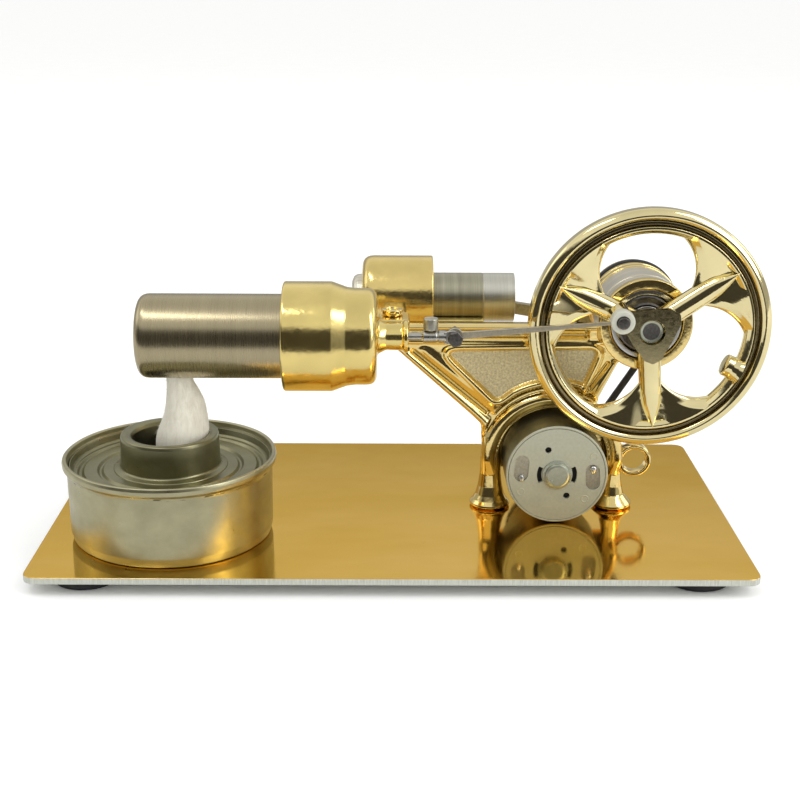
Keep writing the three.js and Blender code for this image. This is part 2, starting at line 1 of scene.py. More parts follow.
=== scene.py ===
# Looks for the Stirling engine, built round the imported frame. Lengths are millimetres until a mesh is made.
import random
from math import acos, asin, atan2, copysign, cos, exp, hypot, pi, radians, sin, sqrt, tan
import bpy
import bmesh
import numpy as np
from mathutils import Euler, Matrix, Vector


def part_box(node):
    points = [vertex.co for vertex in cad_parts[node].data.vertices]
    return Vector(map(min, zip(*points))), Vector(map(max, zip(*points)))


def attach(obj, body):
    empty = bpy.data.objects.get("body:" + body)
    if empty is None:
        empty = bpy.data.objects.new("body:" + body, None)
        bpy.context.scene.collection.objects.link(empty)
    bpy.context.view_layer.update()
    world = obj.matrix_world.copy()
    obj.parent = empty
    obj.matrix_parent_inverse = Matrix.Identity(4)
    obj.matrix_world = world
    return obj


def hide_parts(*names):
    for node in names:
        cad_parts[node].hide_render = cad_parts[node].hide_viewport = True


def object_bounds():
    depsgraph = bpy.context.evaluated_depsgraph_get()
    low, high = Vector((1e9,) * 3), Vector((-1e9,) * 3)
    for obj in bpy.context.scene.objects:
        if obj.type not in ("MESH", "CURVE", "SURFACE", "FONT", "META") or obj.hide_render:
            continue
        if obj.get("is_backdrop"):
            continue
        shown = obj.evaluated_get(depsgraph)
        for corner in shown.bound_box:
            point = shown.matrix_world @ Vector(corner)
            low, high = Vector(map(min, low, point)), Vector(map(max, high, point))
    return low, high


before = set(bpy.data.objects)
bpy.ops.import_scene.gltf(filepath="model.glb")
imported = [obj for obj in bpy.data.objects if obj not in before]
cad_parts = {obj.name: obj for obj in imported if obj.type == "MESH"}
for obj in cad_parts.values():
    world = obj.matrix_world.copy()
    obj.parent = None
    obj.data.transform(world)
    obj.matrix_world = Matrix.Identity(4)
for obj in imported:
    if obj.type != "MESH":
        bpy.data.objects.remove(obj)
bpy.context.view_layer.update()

MM = 0.001
scene = bpy.context.scene
TAU = 2 * pi


# ---- Places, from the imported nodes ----
class Box:
    """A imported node's corners, middle and size."""

    def __init__(self, node):
        lo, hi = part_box(node)
        self.lo, self.hi = lo / MM, hi / MM
        self.c, self.size = (self.lo + self.hi) / 2, self.hi - self.lo


B = {n: Box(n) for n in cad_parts}
plate, shaft, fly = B["base_plate"], B["crankshaft"], B["flywheel"]
hot, tube, can, burner = B["hot_cap"], B["power_cylinder"], B["motor_can"], B["burner_can"]
OX = plate.c.x  # outlines below count x from the middle of the plate
DECK = plate.hi.z
AZ = shaft.c.z  # height of the shaft and of both cylinders
FY, PY = hot.c.y, tube.c.y  # the front and the rear cylinder's axis
SX = shaft.c.x - OX
MX, MZ = can.c.x - OX, can.c.z
BX, BY = burner.c.x - OX, burner.c.y
SHAFT_R, MOTOR_R = shaft.size.x / 2, can.size.x / 2
# lines that the round pieces stand round: a direction, and a point on the line
ON_SHAFT, ON_MOTOR = ("y", (SX, 0, AZ)), ("y", (MX, 0, MZ))
ON_FRONT, ON_REAR = ("x", (0, FY, AZ)), ("x", (0, PY, AZ))
ON_BURNER = ("z", (BX, BY, 0))

# ---- Camera: in front of the engine and a little above it ----
cam = bpy.data.objects.new("camera", bpy.data.cameras.new("camera"))
cam.data.lens, cam.data.sensor_width = 60.95, 36
cam.data.clip_start, cam.data.clip_end = 0.01, 20
cam.location = (-0.0036, -0.3189, 0.1337)
pitch, yaw, roll = 0.308959, 0.0067723, 0.0057458
ahead = Vector((sin(yaw) * cos(pitch), cos(yaw) * cos(pitch), -sin(pitch)))
cam.rotation_mode = "QUATERNION"
cam.rotation_quaternion = ahead.to_track_quat("-Z", "Y") @ Euler((0, 0, roll)).to_quaternion()
scene.collection.objects.link(cam)
scene.camera = cam


# ---- Materials ----
class Tree:
    """Writes shader nodes. A socket given for an input is linked to it; any other value is set on it."""

    def __init__(self, tree):
        self.tree = tree

    def fill(self, node, inputs):
        for key, value in inputs.items():
            socket = node.inputs[key]
            if isinstance(value, bpy.types.NodeSocket):
                self.tree.links.new(value, socket)
            else:
                socket.default_value = (*value, 1) if socket.type == "RGBA" else value
        return node

    def add(self, kind, inputs, **settings):
        node = self.tree.nodes.new("ShaderNode" + kind)
        for key, value in settings.items():
            setattr(node, key, value)
        return self.fill(node, inputs)

    def math(self, op, a, b=0.0, clamp=False):
        return self.add("Math", {0: a, 1: b}, operation=op, use_clamp=clamp).outputs[0]

    def times(self, a, b, clamp=False):
        return self.math("MULTIPLY", a, b, clamp)

    def minus(self, a, b, clamp=False):
        return self.math("SUBTRACT", a, b, clamp)

    def mix(self, fac, a, b):
        fac_in, a_in, b_in, colour_out = 0, 6, 7, 2  # a Mix node's sockets for colours
        return self.add("Mix", {fac_in: fac, a_in: a, b_in: b}, data_type="RGBA").outputs[colour_out]

    def ramp(self, fac, stops):
        node = self.add("ValToRGB", {"Fac": fac})
        marks = node.color_ramp.elements
        while len(marks) < len(stops):
            marks.new(0.5)
        for mark, (place, v) in zip(marks, stops):
            mark.position = place
            mark.color = (*(v if isinstance(v, tuple) else (v, v, v)), 1)
        return node.outputs["Color"]


class Surface(Tree):
    """A material whose patterns are laid out in object coordinates, counted in millimetres."""

    def __init__(self, name, colour, metallic=0.0, rough=0.5, coat=0.0, sheen=0.0, specular=0.5):
        self.m = bpy.data.materials.new(name)
        self.m.use_nodes = True
        super().__init__(self.m.node_tree)
        self.s = self.tree.nodes["Principled BSDF"]
        self.fill(self.s, {"Base Color": colour, "Metallic": metallic, "Roughness": rough,
                           "Coat Weight": coat, "Sheen Weight": sheen, "Specular IOR Level": specular})
        self.place = self.add("TexCoord", {}).outputs["Object"]
        self.normal = None

    def scaled(self, scale):
        return self.add("Mapping", {"Vector": self.place, "Scale": [v / MM for v in scale]}).outputs["Vector"]

    def axes(self):
        return self.add("SeparateXYZ", {0: self.scaled((1, 1, 1))}).outputs

    def noise(self, scale, detail=3, rough=0.55, distortion=0.0):
        place = self.scaled(scale if isinstance(scale, tuple) else (scale,) * 3)
        return self.add("TexNoise", {"Vector": place, "Scale": 1, "Detail": detail, "Roughness": rough,
                                     "Distortion": distortion}).outputs["Fac"]

    def blend(self, fac, a, b, edge=0.35):
        """From colour a where the pattern is low to colour b where it's high."""
        return self.mix(self.ramp(fac, [(edge, 0.0), (1 - edge, 1.0)]), a, b)

    def paint(self, colour):
        self.fill(self.s, {"Base Color": colour})

    def roughness(self, fac, low, high):
        node = self.add("MapRange", {"Value": fac, "From Min": 0.3, "From Max": 0.7,
                                     "To Min": low, "To Max": high})
        self.fill(self.s, {"Roughness": node.outputs[0]})

    def bump(self, fac, depth):
        """depth in millimetres, over the bumps made before"""
        node = self.add("Bump", {"Strength": 1.0, "Distance": depth * MM, "Height": fac})
        if self.normal:
            self.fill(node, {"Normal": self.normal})
        self.normal = node.outputs["Normal"]
        self.fill(self.s, {"Normal": self.normal})


def shade(colour, k):
    return tuple(min(1, v * k) for v in colour)


def cast_gold(name, colour, rough=(0.06, 0.16), ripple=0.045, peel=0.006):
    """Plated die casting: soft ripples, fine pits and a tone that wanders a little."""
    n = Surface(name, colour, 1.0, rough[0])
    n.paint(n.blend(n.noise(0.12, 2), shade(colour, 0.93), shade(colour, 1.04)))
    n.roughness(n.noise(0.9, 4), *rough)
    n.bump(n.noise(0.35, 2), ripple)
    n.bump(n.noise(1.6, 3), peel)
    return n.m


def brushed(name, colour, around, rough=(0.24, 0.4), depth=0.012, fine=9.0, streak=0.25):
    """Turned or brushed metal: fine lines that run round the axis named."""
    n = Surface(name, colour, 1.0, rough[0])
    lines = n.noise(tuple(fine if axis == around else 0.05 for axis in "xyz"), 5, 0.7)
    bands = n.noise(tuple(0.9 if axis == around else 0.02 for axis in "xyz"), 3)
    tone = n.math("ADD", n.times(lines, 0.6), n.times(bands, 0.4))
    n.paint(n.blend(tone, shade(colour, 1 - streak), shade(colour, 1 + streak * 0.4)))
    n.roughness(lines, *rough)
    n.bump(lines, depth)
    return n.m


def sand_gold():
    """The frame's panel: cast sand texture, with its high grains paler."""
    n = Surface("gold_sand_panel", (0.75, 0.65, 0.4), 0.7, 0.42)
    grain = n.noise(1.9, 4, 0.7)
    n.paint(n.blend(grain, (0.56, 0.47, 0.27), (0.94, 0.84, 0.53)))
    n.roughness(n.noise(0.8), 0.36, 0.5)
    n.bump(grain, 0.15)
    return n.m


def mirror_plate():
    """Gold mirror sheet: slightly clouded and wavy, with small dark specks."""
    n = Surface("base_gold", (0.84, 0.555, 0.155), 1.0, 0.09)
    n.fill(n.s, {"Specular Tint": (1.0, 0.84, 0.52)})
    cloudy = n.blend(n.noise((0.02, 0.05, 0.05), 3), (0.82, 0.535, 0.135), (0.88, 0.59, 0.185))
    specks = n.ramp(n.noise(0.55, 2, 0.9), [(0.0, 1.0), (0.215, 1.0), (0.235, 0.0)])
    n.paint(n.mix(specks, cloudy, (0.3, 0.17, 0.05)))
    n.roughness(n.noise(0.12, 5, 0.65), 0.05, 0.13)
    n.bump(n.noise(0.045, 2), 0.06)
    n.bump(n.noise((2.5, 0.4, 1.0), 3), 0.0016)
    return n.m


def tinplate(name, base, painted_dent_shade=False):
    """Lacquered tinplate: a soft green-gold grain and, if asked, painted shade for short dents under the
    rolled rim.
    """
    n = Surface(name, base, 1.0, 0.34)
    colour = n.blend(n.noise((0.13, 0.13, 0.16), 5, 0.6), shade(base, 0.84), shade(base, 1.08), 0.3)
    if painted_dent_shade:
        # painted shade: near-black spots in a band under the rim stand in for dents
        from_band = n.math("ABSOLUTE", n.minus(n.axes()[2], burner.hi.z - 2.9))
        band = n.minus(1.0, n.times(from_band, 2.6), clamp=True)
        dent_shade_spots = n.ramp(n.noise((0.3, 0.3, 0.9), 2, 0.6), [(0.0, 1.0), (0.4, 1.0), (0.43, 0.0)])
        colour = n.mix(n.times(band, dent_shade_spots, clamp=True), colour, (0.05, 0.045, 0.03))
    n.paint(colour)
    n.roughness(n.noise(0.3, 4), 0.27, 0.42)
    n.bump(n.noise((0.9, 0.9, 0.6), 4), 0.012)
    n.bump(n.noise((0.05, 0.05, 0.03), 2), 0.14)
    return n.m


def dull(name, colour, metallic, rough, grain=1.5, depth=0.02, spread=0.12, coat=0.0):
    """Plain metal, rubber or nylon with an even grain."""
    n = Surface(name, colour, metallic, rough, coat)
    g = n.noise(grain, 4, 0.6)
    n.paint(n.blend(g, shade(colour, 1 - spread), shade(colour, 1 + spread), 0.3))
    n.roughness(n.noise(0.5, 3), rough * 0.85, min(1, rough * 1.2))
    n.bump(g, depth)
    return n.m


def cut_edge():
    """Sheared aluminium edge of the plate: pale, with fine upright shear lines."""
    n = Surface("plate_edge", (0.5, 0.51, 0.44), 0.2, 0.5)
    lines = n.noise((3.0, 3.0, 0.3), 3)
    n.paint(n.blend(lines, (0.42, 0.43, 0.37), (0.57, 0.585, 0.52)))
    n.roughness(lines, 0.42, 0.6)
    n.bump(lines, 0.03)
    return n.m


def cotton():
    """Loose cotton, yellower near the collar, with painted shade greying its left side."""
    n = Surface("cotton", (0.86, 0.84, 0.79), 0.0, 0.95, sheen=0.4)
    fluff = n.noise((0.9, 0.9, 0.22), 6, 0.7, 0.6)
    x, _, z = n.axes()
    # painted shade: the cotton turns grey towards its left, as if lit from the right
    left = n.times(n.minus(burner.c.x + 4.2, x), 0.2, clamp=True)
    low = n.times(n.minus(burner.hi.z + 12, z), 0.05, clamp=True)
    colour = n.blend(fluff, (0.7, 0.66, 0.54), (0.93, 0.9, 0.78), 0.3)
    colour = n.mix(n.times(left, 0.55), colour, (0.46, 0.43, 0.34))
    n.paint(n.mix(n.times(low, 0.25), colour, (0.62, 0.58, 0.5)))
    n.roughness(fluff, 0.85, 1.0)
    n.bump(fluff, 0.35)
    n.fill(n.s, {"Subsurface Weight": 0.2, "Subsurface Radius": (1, 0.95, 0.9),
                 "Subsurface Scale": 0.0012})
    return n.m


gold = cast_gold("gold_casting", (0.9, 0.7, 0.29))
fly_gold = cast_gold("gold_flywheel", (0.9, 0.78, 0.43), (0.05, 0.12), 0.03, 0.005)
# a darker copy of the flywheel gold: painted dark reflection for the rim's channel
channel_dark_reflection = cast_gold("gold_rim_channel_painted_reflection", (0.3, 0.24, 0.12), (0.16, 0.26))
cup_gold = cast_gold("gold_cups", (0.88, 0.7, 0.27), (0.12, 0.22), 0.05, 0.014)
mottled_gold = cast_gold("gold_rear_cup", (0.88, 0.68, 0.26), (0.12, 0.24), 0.05, 0.03)
hub_gold = cast_gold("gold_hub_face", (0.42, 0.36, 0.2), (0.12, 0.22), 0.012, 0.006)
base_gold, edge_metal, panel_gold, wick_white = mirror_plate(), cut_edge(), sand_gold(), cotton()
tin, tin_lid = tinplate("tinplate", (0.47, 0.44, 0.28), True), tinplate("tinplate_lid", (0.29, 0.275, 0.165))
cap_steel = brushed("hot_steel", (0.45, 0.385, 0.245), "x", (0.23, 0.32), 0.0015, 8.0, 0.11)
tube_steel = brushed("cylinder_steel", (0.44, 0.42, 0.31), "x", (0.3, 0.44), 0.01, 5.0, 0.3)
sleeve_steel = brushed("cylinder_sleeve", (0.62, 0.61, 0.53), "x", (0.3, 0.44), 0.005, 2.5, 0.16)
turned_steel = brushed("turned_steel", (0.62, 0.61, 0.58), "y", (0.18, 0.32), 0.006, 6.0, 0.15)
drum_pale = brushed("bearing_housing", (0.8, 0.75, 0.62), "y", (0.26, 0.4), 0.02, 2.6, 0.22)
can_metal = brushed("motor_can_plate", (0.34, 0.33, 0.24), "y", (0.3, 0.45), 0.01, 3.0, 0.2)
steel = dull("steel", (0.5, 0.49, 0.45), 1.0, 0.3, 2.0, 0.01)
link_steel = dull("link_steel", (0.6, 0.54, 0.41), 1.0, 0.36, 2.0, 0.01)
screw_grey = dull("screw_grey", (0.46, 0.44, 0.36), 0.9, 0.34, 1.6, 0.015, 0.2)
rod_brass = dull("rod_brass", (0.42, 0.38, 0.26), 0.9, 0.42, 1.6, 0.02, 0.2)
dark_steel = dull("dark_steel", (0.17, 0.16, 0.15), 1.0, 0.3, 2.0, 0.02, 0.3)
zinc = dull("motor_zinc", (0.47, 0.48, 0.38), 0.5, 0.42, 1.4, 0.012, 0.06)
zinc_boss = dull("motor_boss", (0.44, 0.46, 0.37), 0.8, 0.3, 1.4, 0.012, 0.08)
brass = dull("brass", (0.74, 0.62, 0.4), 1.0, 0.28, 1.5, 0.01)
solder = dull("solder", (0.62, 0.62, 0.6), 0.9, 0.25, 1.2, 0.04)
rubber = dull("rubber", (0.018, 0.018, 0.018), 0.0, 0.6, 1.2, 0.04, 0.3)
shadow_black = dull("painted_recess_shadow", (0.012, 0.012, 0.012), 0.0, 0.8, 1.5, 0.02)
nylon = dull("nylon", (0.5, 0.5, 0.42), 0.0, 0.4, 1.2, 0.015, 0.05, coat=0.15)
copper = dull("winding", (0.45, 0.24, 0.12), 0.9, 0.4, 4.0, 0.05, 0.3)


# ---- Mesh helpers ----
def put(name, mesh, body, mats, replaces=None):
    mesh.name = name
    o = bpy.data.objects.new(name, mesh)
    scene.collection.objects.link(o)
    mesh.materials.clear()
    for m in (mats if isinstance(mats, list) else [mats]):
        o.data.materials.append(m)
    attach(o, body)
    if replaces:
        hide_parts(replaces)
    return o


def number_faces(mesh, rule):
    """Gives each face the material that rule(x, y, z) numbers, asked at the face's middle."""
    for p in mesh.polygons:
        x, y, z = (v / MM for v in p.center)
        p.material_index = int(rule(x - OX, y, z))


def from_shaft(x, z):
    return hypot(x - SX, z - AZ)


def finish_mesh(mesh, sharp=38.0, fix=True):
    if fix:
        b = bmesh.new()
        b.from_mesh(mesh)
        bmesh.ops.remove_doubles(b, verts=b.verts, dist=1e-7)
        bmesh.ops.recalc_face_normals(b, faces=b.faces)
        b.to_mesh(mesh)
        b.free()
    mesh.polygons.foreach_set("use_smooth", [True] * len(mesh.polygons))
    mesh.set_sharp_from_angle(angle=radians(sharp))
    return mesh


def to_mesh(verts, faces, sharp=38.0, fix=True):
    mesh = bpy.data.meshes.new("m")
    mesh.from_pydata([((x + OX) * MM, y * MM, z * MM) for x, y, z in verts], [], faces)
    return finish_mesh(mesh, sharp, fix)


def grid(rows, columns, first=0, loop=False, flip=False):
    """Faces between rows of points, numbered from first; loop joins the last column to the first."""
    faces = []
    for i in range(rows - 1):
        a, b = first + i * columns, first + (i + 1) * columns
        for k in range(columns if loop else columns - 1):
            j = (k + 1) % columns
            q = (a + k, a + j, b + j, b + k)
            faces.append(q[::-1] if flip else q)
    return faces


def fillet(points, closed=False, steps=6):
    """Rounds each corner (a, b, r) of a line of points by about r."""
    out, n = [], len(points)
    for i, p in enumerate(points):
        r = p[2] if len(p) > 2 else 0
        if not r or (not closed and i in (0, n - 1)):
            out.append((p[0], p[1]))
            continue
        P, A, C = (Vector(q[:2]) for q in (p, points[i - 1], points[(i + 1) % n]))
        u, v = A - P, C - P
        half = u.angle(v) / 2
        t = min(r / max(tan(half), 1e-6), 0.49 * u.length, 0.49 * v.length)
        a, c = P + u.normalized() * t, P + v.normalized() * t
        for k in range(steps + 1):
            s = k / steps
            q = a * (1 - s) ** 2 + P * 2 * s * (1 - s) + c * s * s
            out.append((q.x, q.y))
    return out


def rect(x0, z0, x1, z1, low=0.0, high=None, steps=6):
    """A rectangle whose lower corners are rounded by low, and its upper ones by high."""
    high = low if high is None else high
    return fillet([(x0, z0, low), (x1, z0, low), (x1, z1, high), (x0, z1, high)], True, steps)


def circle(x, z, r, n=72, start=0.0, stop=TAU):
    """A whole circle of n points, or an arc with a point at each end."""
    full = abs(stop - start - TAU) < 1e-6
    steps = n if full else n - 1
    return [(x + r * cos(start + (stop - start) * k / steps),
             z + r * sin(start + (stop - start) * k / steps)) for k in range(n)]


def hexagon(x, z, r, turn):
    return circle(x, z, r, 6, turn, turn + TAU)


def lathe(profile, axis, at=(0, 0, 0), segs=96, closed=False, sharp=38.0, squash=1):
    """Turns (radius, distance) points round an axis through at; squash flattens the second direction."""
    prof = fillet(profile, closed)
    verts, faces, rings = [], [], []
    for r, h in prof:
        if r < 1e-6:
            rings.append([len(verts)])
            verts.append((0, 0, h))
            continue
        rings.append(list(range(len(verts), len(verts) + segs)))
        verts += [(r * cos(TAU * k / segs), r * sin(TAU * k / segs) * squash, h) for k in range(segs)]
    pairs = list(zip(rings, rings[1:])) + ([(rings[-1], rings[0])] if closed else [])
    for a, b in pairs:
        if len(a) == len(b) == 1:
            continue
        for k in range(segs):
            j = (k + 1) % segs
            if len(a) == 1:
                faces.append((a[0], b[k], b[j]))
            elif len(b) == 1:
                faces.append((a[j], a[k], b[0]))
            else:
                faces.append((a[k], a[j], b[j], b[k]))
    order = {"x": (2, 0, 1), "y": (0, 2, 1), "z": (0, 1, 2)}[axis]
    return to_mesh([tuple(v[i] + d for i, d in zip(order, at)) for v in verts], faces, sharp)


def level(start, *points):
    """Profile points whose distances count from start."""
    return [(p[0], start + p[1], *p[2:]) for p in points]


def disc(r, lo, hi, axis, at, bevel=0.2, segs=64):
    return lathe([(0, lo), (r, lo, bevel), (r, hi, bevel), (0, hi)], axis, at, segs)


def ring(inner, outer, lo, hi, axis, at, bevel=0.2, segs=96):
    return lathe([(inner, lo, bevel), (outer, lo, bevel), (outer, hi, bevel),
        (inner, hi, bevel)], axis, at, segs, True)


def temp(data):
    o = bpy.data.objects.new("temp", data)
    scene.collection.objects.link(o)
    return o


def applied(obj):
    """The mesh of obj with its modifiers applied; obj goes."""
    dg = bpy.context.evaluated_depsgraph_get()
    mesh = bpy.data.meshes.new_from_object(obj.evaluated_get(dg), depsgraph=dg)
    bpy.data.objects.remove(obj)
    return mesh


def curve(loops, closed=True, flat=False):
    cu = bpy.data.curves.new("c", "CURVE")
    cu.dimensions = "2D" if flat else "3D"
    for loop in loops:
        sp = cu.splines.new("POLY")
        sp.points.add(len(loop) - 1)
        for p, q in zip(sp.points, loop):
            p.co = (*(v * MM for v in q), 1) if len(q) == 3 else (q[0] * MM, q[1] * MM, 0, 1)
            p.radius = 1
        sp.use_cyclic_u = closed
    return cu


def slab(loops, lo, hi, bevel=0.25, axis="y", at=(0, 0, 0), segs=3):
    """Flat outlines (the first outside, the rest holes) made solid between lo and hi along an axis."""
    cu = curve(loops, flat=True)
    cu.fill_mode, cu.extrude = "BOTH", (hi - lo) / 2 * MM
    mesh = applied(temp(cu))
    b = bmesh.new()
    b.from_mesh(mesh)
    bmesh.ops.remove_doubles(b, verts=b.verts, dist=1e-7)
    bmesh.ops.dissolve_limit(b, angle_limit=0.01, verts=b.verts, edges=b.edges)
    mid = (lo + hi) / 2 * MM
    for v in b.verts:
        x, y, z = v.co
        v.co = {"x": (z + mid, x, y), "y": (x, z + mid, y), "z": (x, y, z + mid)}[axis]
        v.co += Vector((at[0] + OX, at[1], at[2])) * MM
    bmesh.ops.recalc_face_normals(b, faces=b.faces)
    b.to_mesh(mesh)
    b.free()
    o = temp(mesh)
    if bevel:
        m = o.modifiers.new("bevel", "BEVEL")
        m.width, m.segments, m.limit_method, m.angle_limit = bevel * MM, segs, "ANGLE", radians(30)
        m.use_clamp_overlap = True
    o = temp(finish_mesh(applied(o), fix=False))
    w = o.modifiers.new("normals", "WEIGHTED_NORMAL")
    w.keep_sharp = True
    return applied(o)


def boolean(mesh, other, how="DIFFERENCE", sharp=38.0):
    a, b = temp(mesh), temp(other)
    m = a.modifiers.new("b", "BOOLEAN")
    m.object, m.operation, m.solver = b, how, "MANIFOLD"
    out = applied(a)
    bpy.data.objects.remove(b)
    return finish_mesh(out, sharp, False)


def joined(*meshes):
    b = bmesh.new()
    for m in meshes:
        b.from_mesh(m)
    out = bpy.data.meshes.new("j")
    b.to_mesh(out)
    b.free()
    return out


# ---- Base plate and feet ----
hw, hd = plate.size.x / 2, plate.size.y / 2
mesh = slab([rect(-hw, -hd, hw, hd, 3.5, steps=10)], plate.lo.z, plate.hi.z, 0.18, "z")
put("base_plate_gold", mesh, "base", [base_gold, edge_metal], "base_plate")
for p in mesh.polygons:
    p.material_index = 0 if p.normal.z > 0.6 else 1


def rubber_foot(end, side):
    """A round foot with a shallow hollow underneath."""
    node = f"rubber_foot_{end}_{side}"
    f = B[node]
    r, z = f.size.x / 2, f.lo.z
    put(f"foot_{end}_{side}", lathe([(0, z + 0.5), (2.4, z + 0.5, 0.3), (2.8, z, 0.4), (r - 0.6, z, 0.5),
        (r, z + 0.8, 0.4), (r - 0.5, f.hi.z, 0.3), (0, f.hi.z)], "z", (f.c.x - OX, f.c.y, 0), 72),
        "base", rubber, node)


for end in ("front", "rear"):
    for side in ("left", "right"):
        rubber_foot(end, side)


# ---- Frame casting: the flat wall is a relief, cut to its outline ----
def spaced(points, closed, x, z):
    """Distance from each grid point to a line of points."""
    best = np.full(x.shape, 1e9)
    pts = list(points) + ([points[0]] if closed else [])
    for (ax, az), (bx, bz) in zip(pts, pts[1:]):
        dx, dz = bx - ax, bz - az
        t = np.clip(((x - ax) * dx + (z - az) * dz) / max(dx * dx + dz * dz, 1e-9), 0, 1)
        best = np.minimum(best, np.hypot(x - ax - t * dx, z - az - t * dz))
    return best


def inside(points, x, z):
    hit = np.zeros(x.shape, bool)
    for (ax, az), (bx, bz) in zip(points, points[1:] + points[:1]):
        if az != bz:
            hit ^= ((az > z) != (bz > z)) & (x < (bx - ax) * (z - az) / (bz - az) + ax)
    return hit


def depth_inside(points, x, z):
    """Distance from an outline, negative outside it."""
    return spaced(points, True, x, z) * np.where(inside(points, x, z), 1, -1)


def smooth(v, lo, hi):
    t = np.clip((v - lo) / (hi - lo), 0, 1)
    return t * t * (3 - 2 * t)


def hump(d, width, power=2):
    return np.exp(-np.abs(d / width) ** power)


ARCH_IN, ARCH_OUT = MOTOR_R + 1.0, MOTOR_R + 5.3
ARCH_ROLL = 20.4  # where the arch's outermost groove ends
LEG_L, LEG_R = MX - 15.2, MX + 15.5
LEG_HALF_L, LEG_HALF_R = 2.55, 1.95
TOP = AZ - 1.4
MID = B["leg_screw_left"].c.y  # the wall's middle plane
EDGE = 0.9  # how far the wall's edges are rounded
PANEL = fillet([(11.0, 41.1, 2.2), (50.9, 41.6, 2.4), (46.6, 31.0, 1.8)] +
               circle(MX, MZ - DECK, ARCH_ROLL, 9, 1.25, 2.1) + [(25.6, 27.2, 2.4)], True, 6)
LEFT_ROLL = [(1.0, 40.2), (19.2, 24.2), (21.9, 21.6), (22.3, 12)]
# ridges and grooves (negative heights) along straight lines: ends, height, half width, squareness
LINES = (
    ([(4.9, 40.4), (25.0, 23.6)], -1.0, 0.55, 3),  # groove beside the left diagonal's roll
    ([(7.6, 40.9), (24.6, 26.7)], 0.35, 0.8, 2),  # pale ramp from there up to the panel
    ([(40.6, 44.75), (46.4, 44.75)], 0.95, 0.45, 3),  # short ridge between the long rails
    ([(52.3, 37.6), (47.6, 30.6)], -1.0, 0.4, 3),  # groove of the slanted bar beside the window
    ([(53.7, 37.5), (49.1, 29.2)], 0.4, 0.7, 3),  # and its crest
)


def wall_outline():
    z = lambda v: DECK + v
    left = MX - ARCH_OUT
    diagonal = [(-3.1, TOP), (-3.1, z(44.0), 1), (1.3, z(40.6), 2), (19.4, z(24.3), 1.5)]
    left_leg = [(left - 0.2, z(21.9), 2.5), (left + 0.1, MZ + 4, 4), (left, z(8)), (left + 4.9, z(8)),
                (MX - ARCH_IN, MZ - 3)]
    right_leg = [(MX + ARCH_IN, MZ - 3), (LEG_R - 1.9, z(8)), (LEG_R + 1.9, z(8)),
                 (MX + ARCH_OUT - 0.3, MZ - 3)]
    window = [(50.6, z(28.9), 1.2), (54.9, z(37.8), 1.5), (SX, z(40), 2), (SX, TOP)]
    under, over = circle(MX, MZ, ARCH_IN, 48, pi, 0), circle(MX, MZ, ARCH_OUT, 16, 0.0, 0.93)
    return fillet(diagonal + left_leg + under + right_leg + over + window, True, 5)


def relief():
    """The wall as two height fields, F in front of its middle plane and back behind it."""
    edge, step = wall_outline(), 0.25
    x, z = np.meshgrid(np.arange(-4.1, SX + 1, step), np.arange(DECK + 3.2, TOP + 1, step))
    dz = z - DECK
    d_out, d_pan = depth_inside(edge, x, z), depth_inside(PANEL, x, dz)
    rho = np.hypot(x - MX, z - MZ)
    F = np.full(x.shape, 2.0)
    F += 0.55 * hump(d_pan + 0.35, 0.75, 3) - 0.9 * smooth(d_pan, 0.15, 0.9)
    F += 0.6 * hump(spaced(LEFT_ROLL, False, x, dz) - 1.0, 1.0, 3)
    for ends, height, width, power in LINES:
        F += height * hump(spaced(ends, False, x, dz), width, power)
    # long rails under the top edge with a channel between them, and the block beside the drum
    channel = smooth(dz, 43.6, 44.2) * (1 - smooth(dz, 45.5, 46.0))
    F -= 1.2 * channel * smooth(x, 3, 4) * (1 - smooth(x, 47, 47.6))
    F += 0.35 * hump(dz - 46.6, 0.5) + 0.3 * hump(dz - 42.9, 0.55)
    F += 0.4 * hump(x - 48.4, 1.4, 6) * hump(dz - 45.3, 1.7, 6)
    # arch: an inner ring, a bright roll and a fine groove outside it
    roll = np.clip(1 - ((rho - ARCH_IN - 2.7) / 1.75) ** 2, 0, 1)
    groove = 0.8 * hump(rho - ARCH_IN - 4.9, 0.45) * smooth(dz, 9, 13)
    F = np.where(rho < ARCH_ROLL, np.maximum(F - groove, 1.7 + 1.7 * np.sqrt(roll)), F)
    F = np.where(rho < ARCH_IN + 1.3, np.maximum(F, 2.1 + 0.35 * hump(rho - ARCH_IN - 0.55, 0.45)), F)
    # legs go round towards their feet
    for cx, half in ((LEG_L, LEG_HALF_L), (LEG_R, LEG_HALF_R)):
        leg = half * np.sqrt(np.clip(1 - ((x - cx) / (half + 0.1)) ** 2, 0.02, 1))
        low = (np.abs(x - cx) < 3) & (dz < 13)
        F = np.where(low, F * smooth(dz, 8, 13) + leg * (1 - smooth(dz, 8, 13)), F)
    fall = np.sqrt(np.clip(EDGE ** 2 - (EDGE - np.clip(d_out, 0, EDGE)) ** 2, 0, 1)) - EDGE
    back = 2.3 - 0.7 * smooth(d_pan, 0.4, 1.2) + 0.5 * np.sqrt(roll) * (rho < 20) + fall
    sheets = [np.stack([x, y, z], -1).reshape(-1, 3).tolist()
              for y in (MID - np.maximum(F + fall, 0.5), MID + np.maximum(back, 0.5))]
    (h, w), n = x.shape, x.size
    idx = np.arange(n).reshape(h, w)
    rim = np.concatenate([idx[0, :-1], idx[:-1, -1], idx[-1, :0:-1], idx[:0:-1, 0]]).tolist()
    sides = [(b, a, a + n, b + n) for a, b in zip(rim, rim[1:] + rim[:1])]
    box = to_mesh(sheets[0] + sheets[1], grid(h, w) + grid(h, w, n, flip=True) + sides, 60)
    return boolean(box, slab([edge], MID - 6, MID + 6, 0), "INTERSECT", 55)


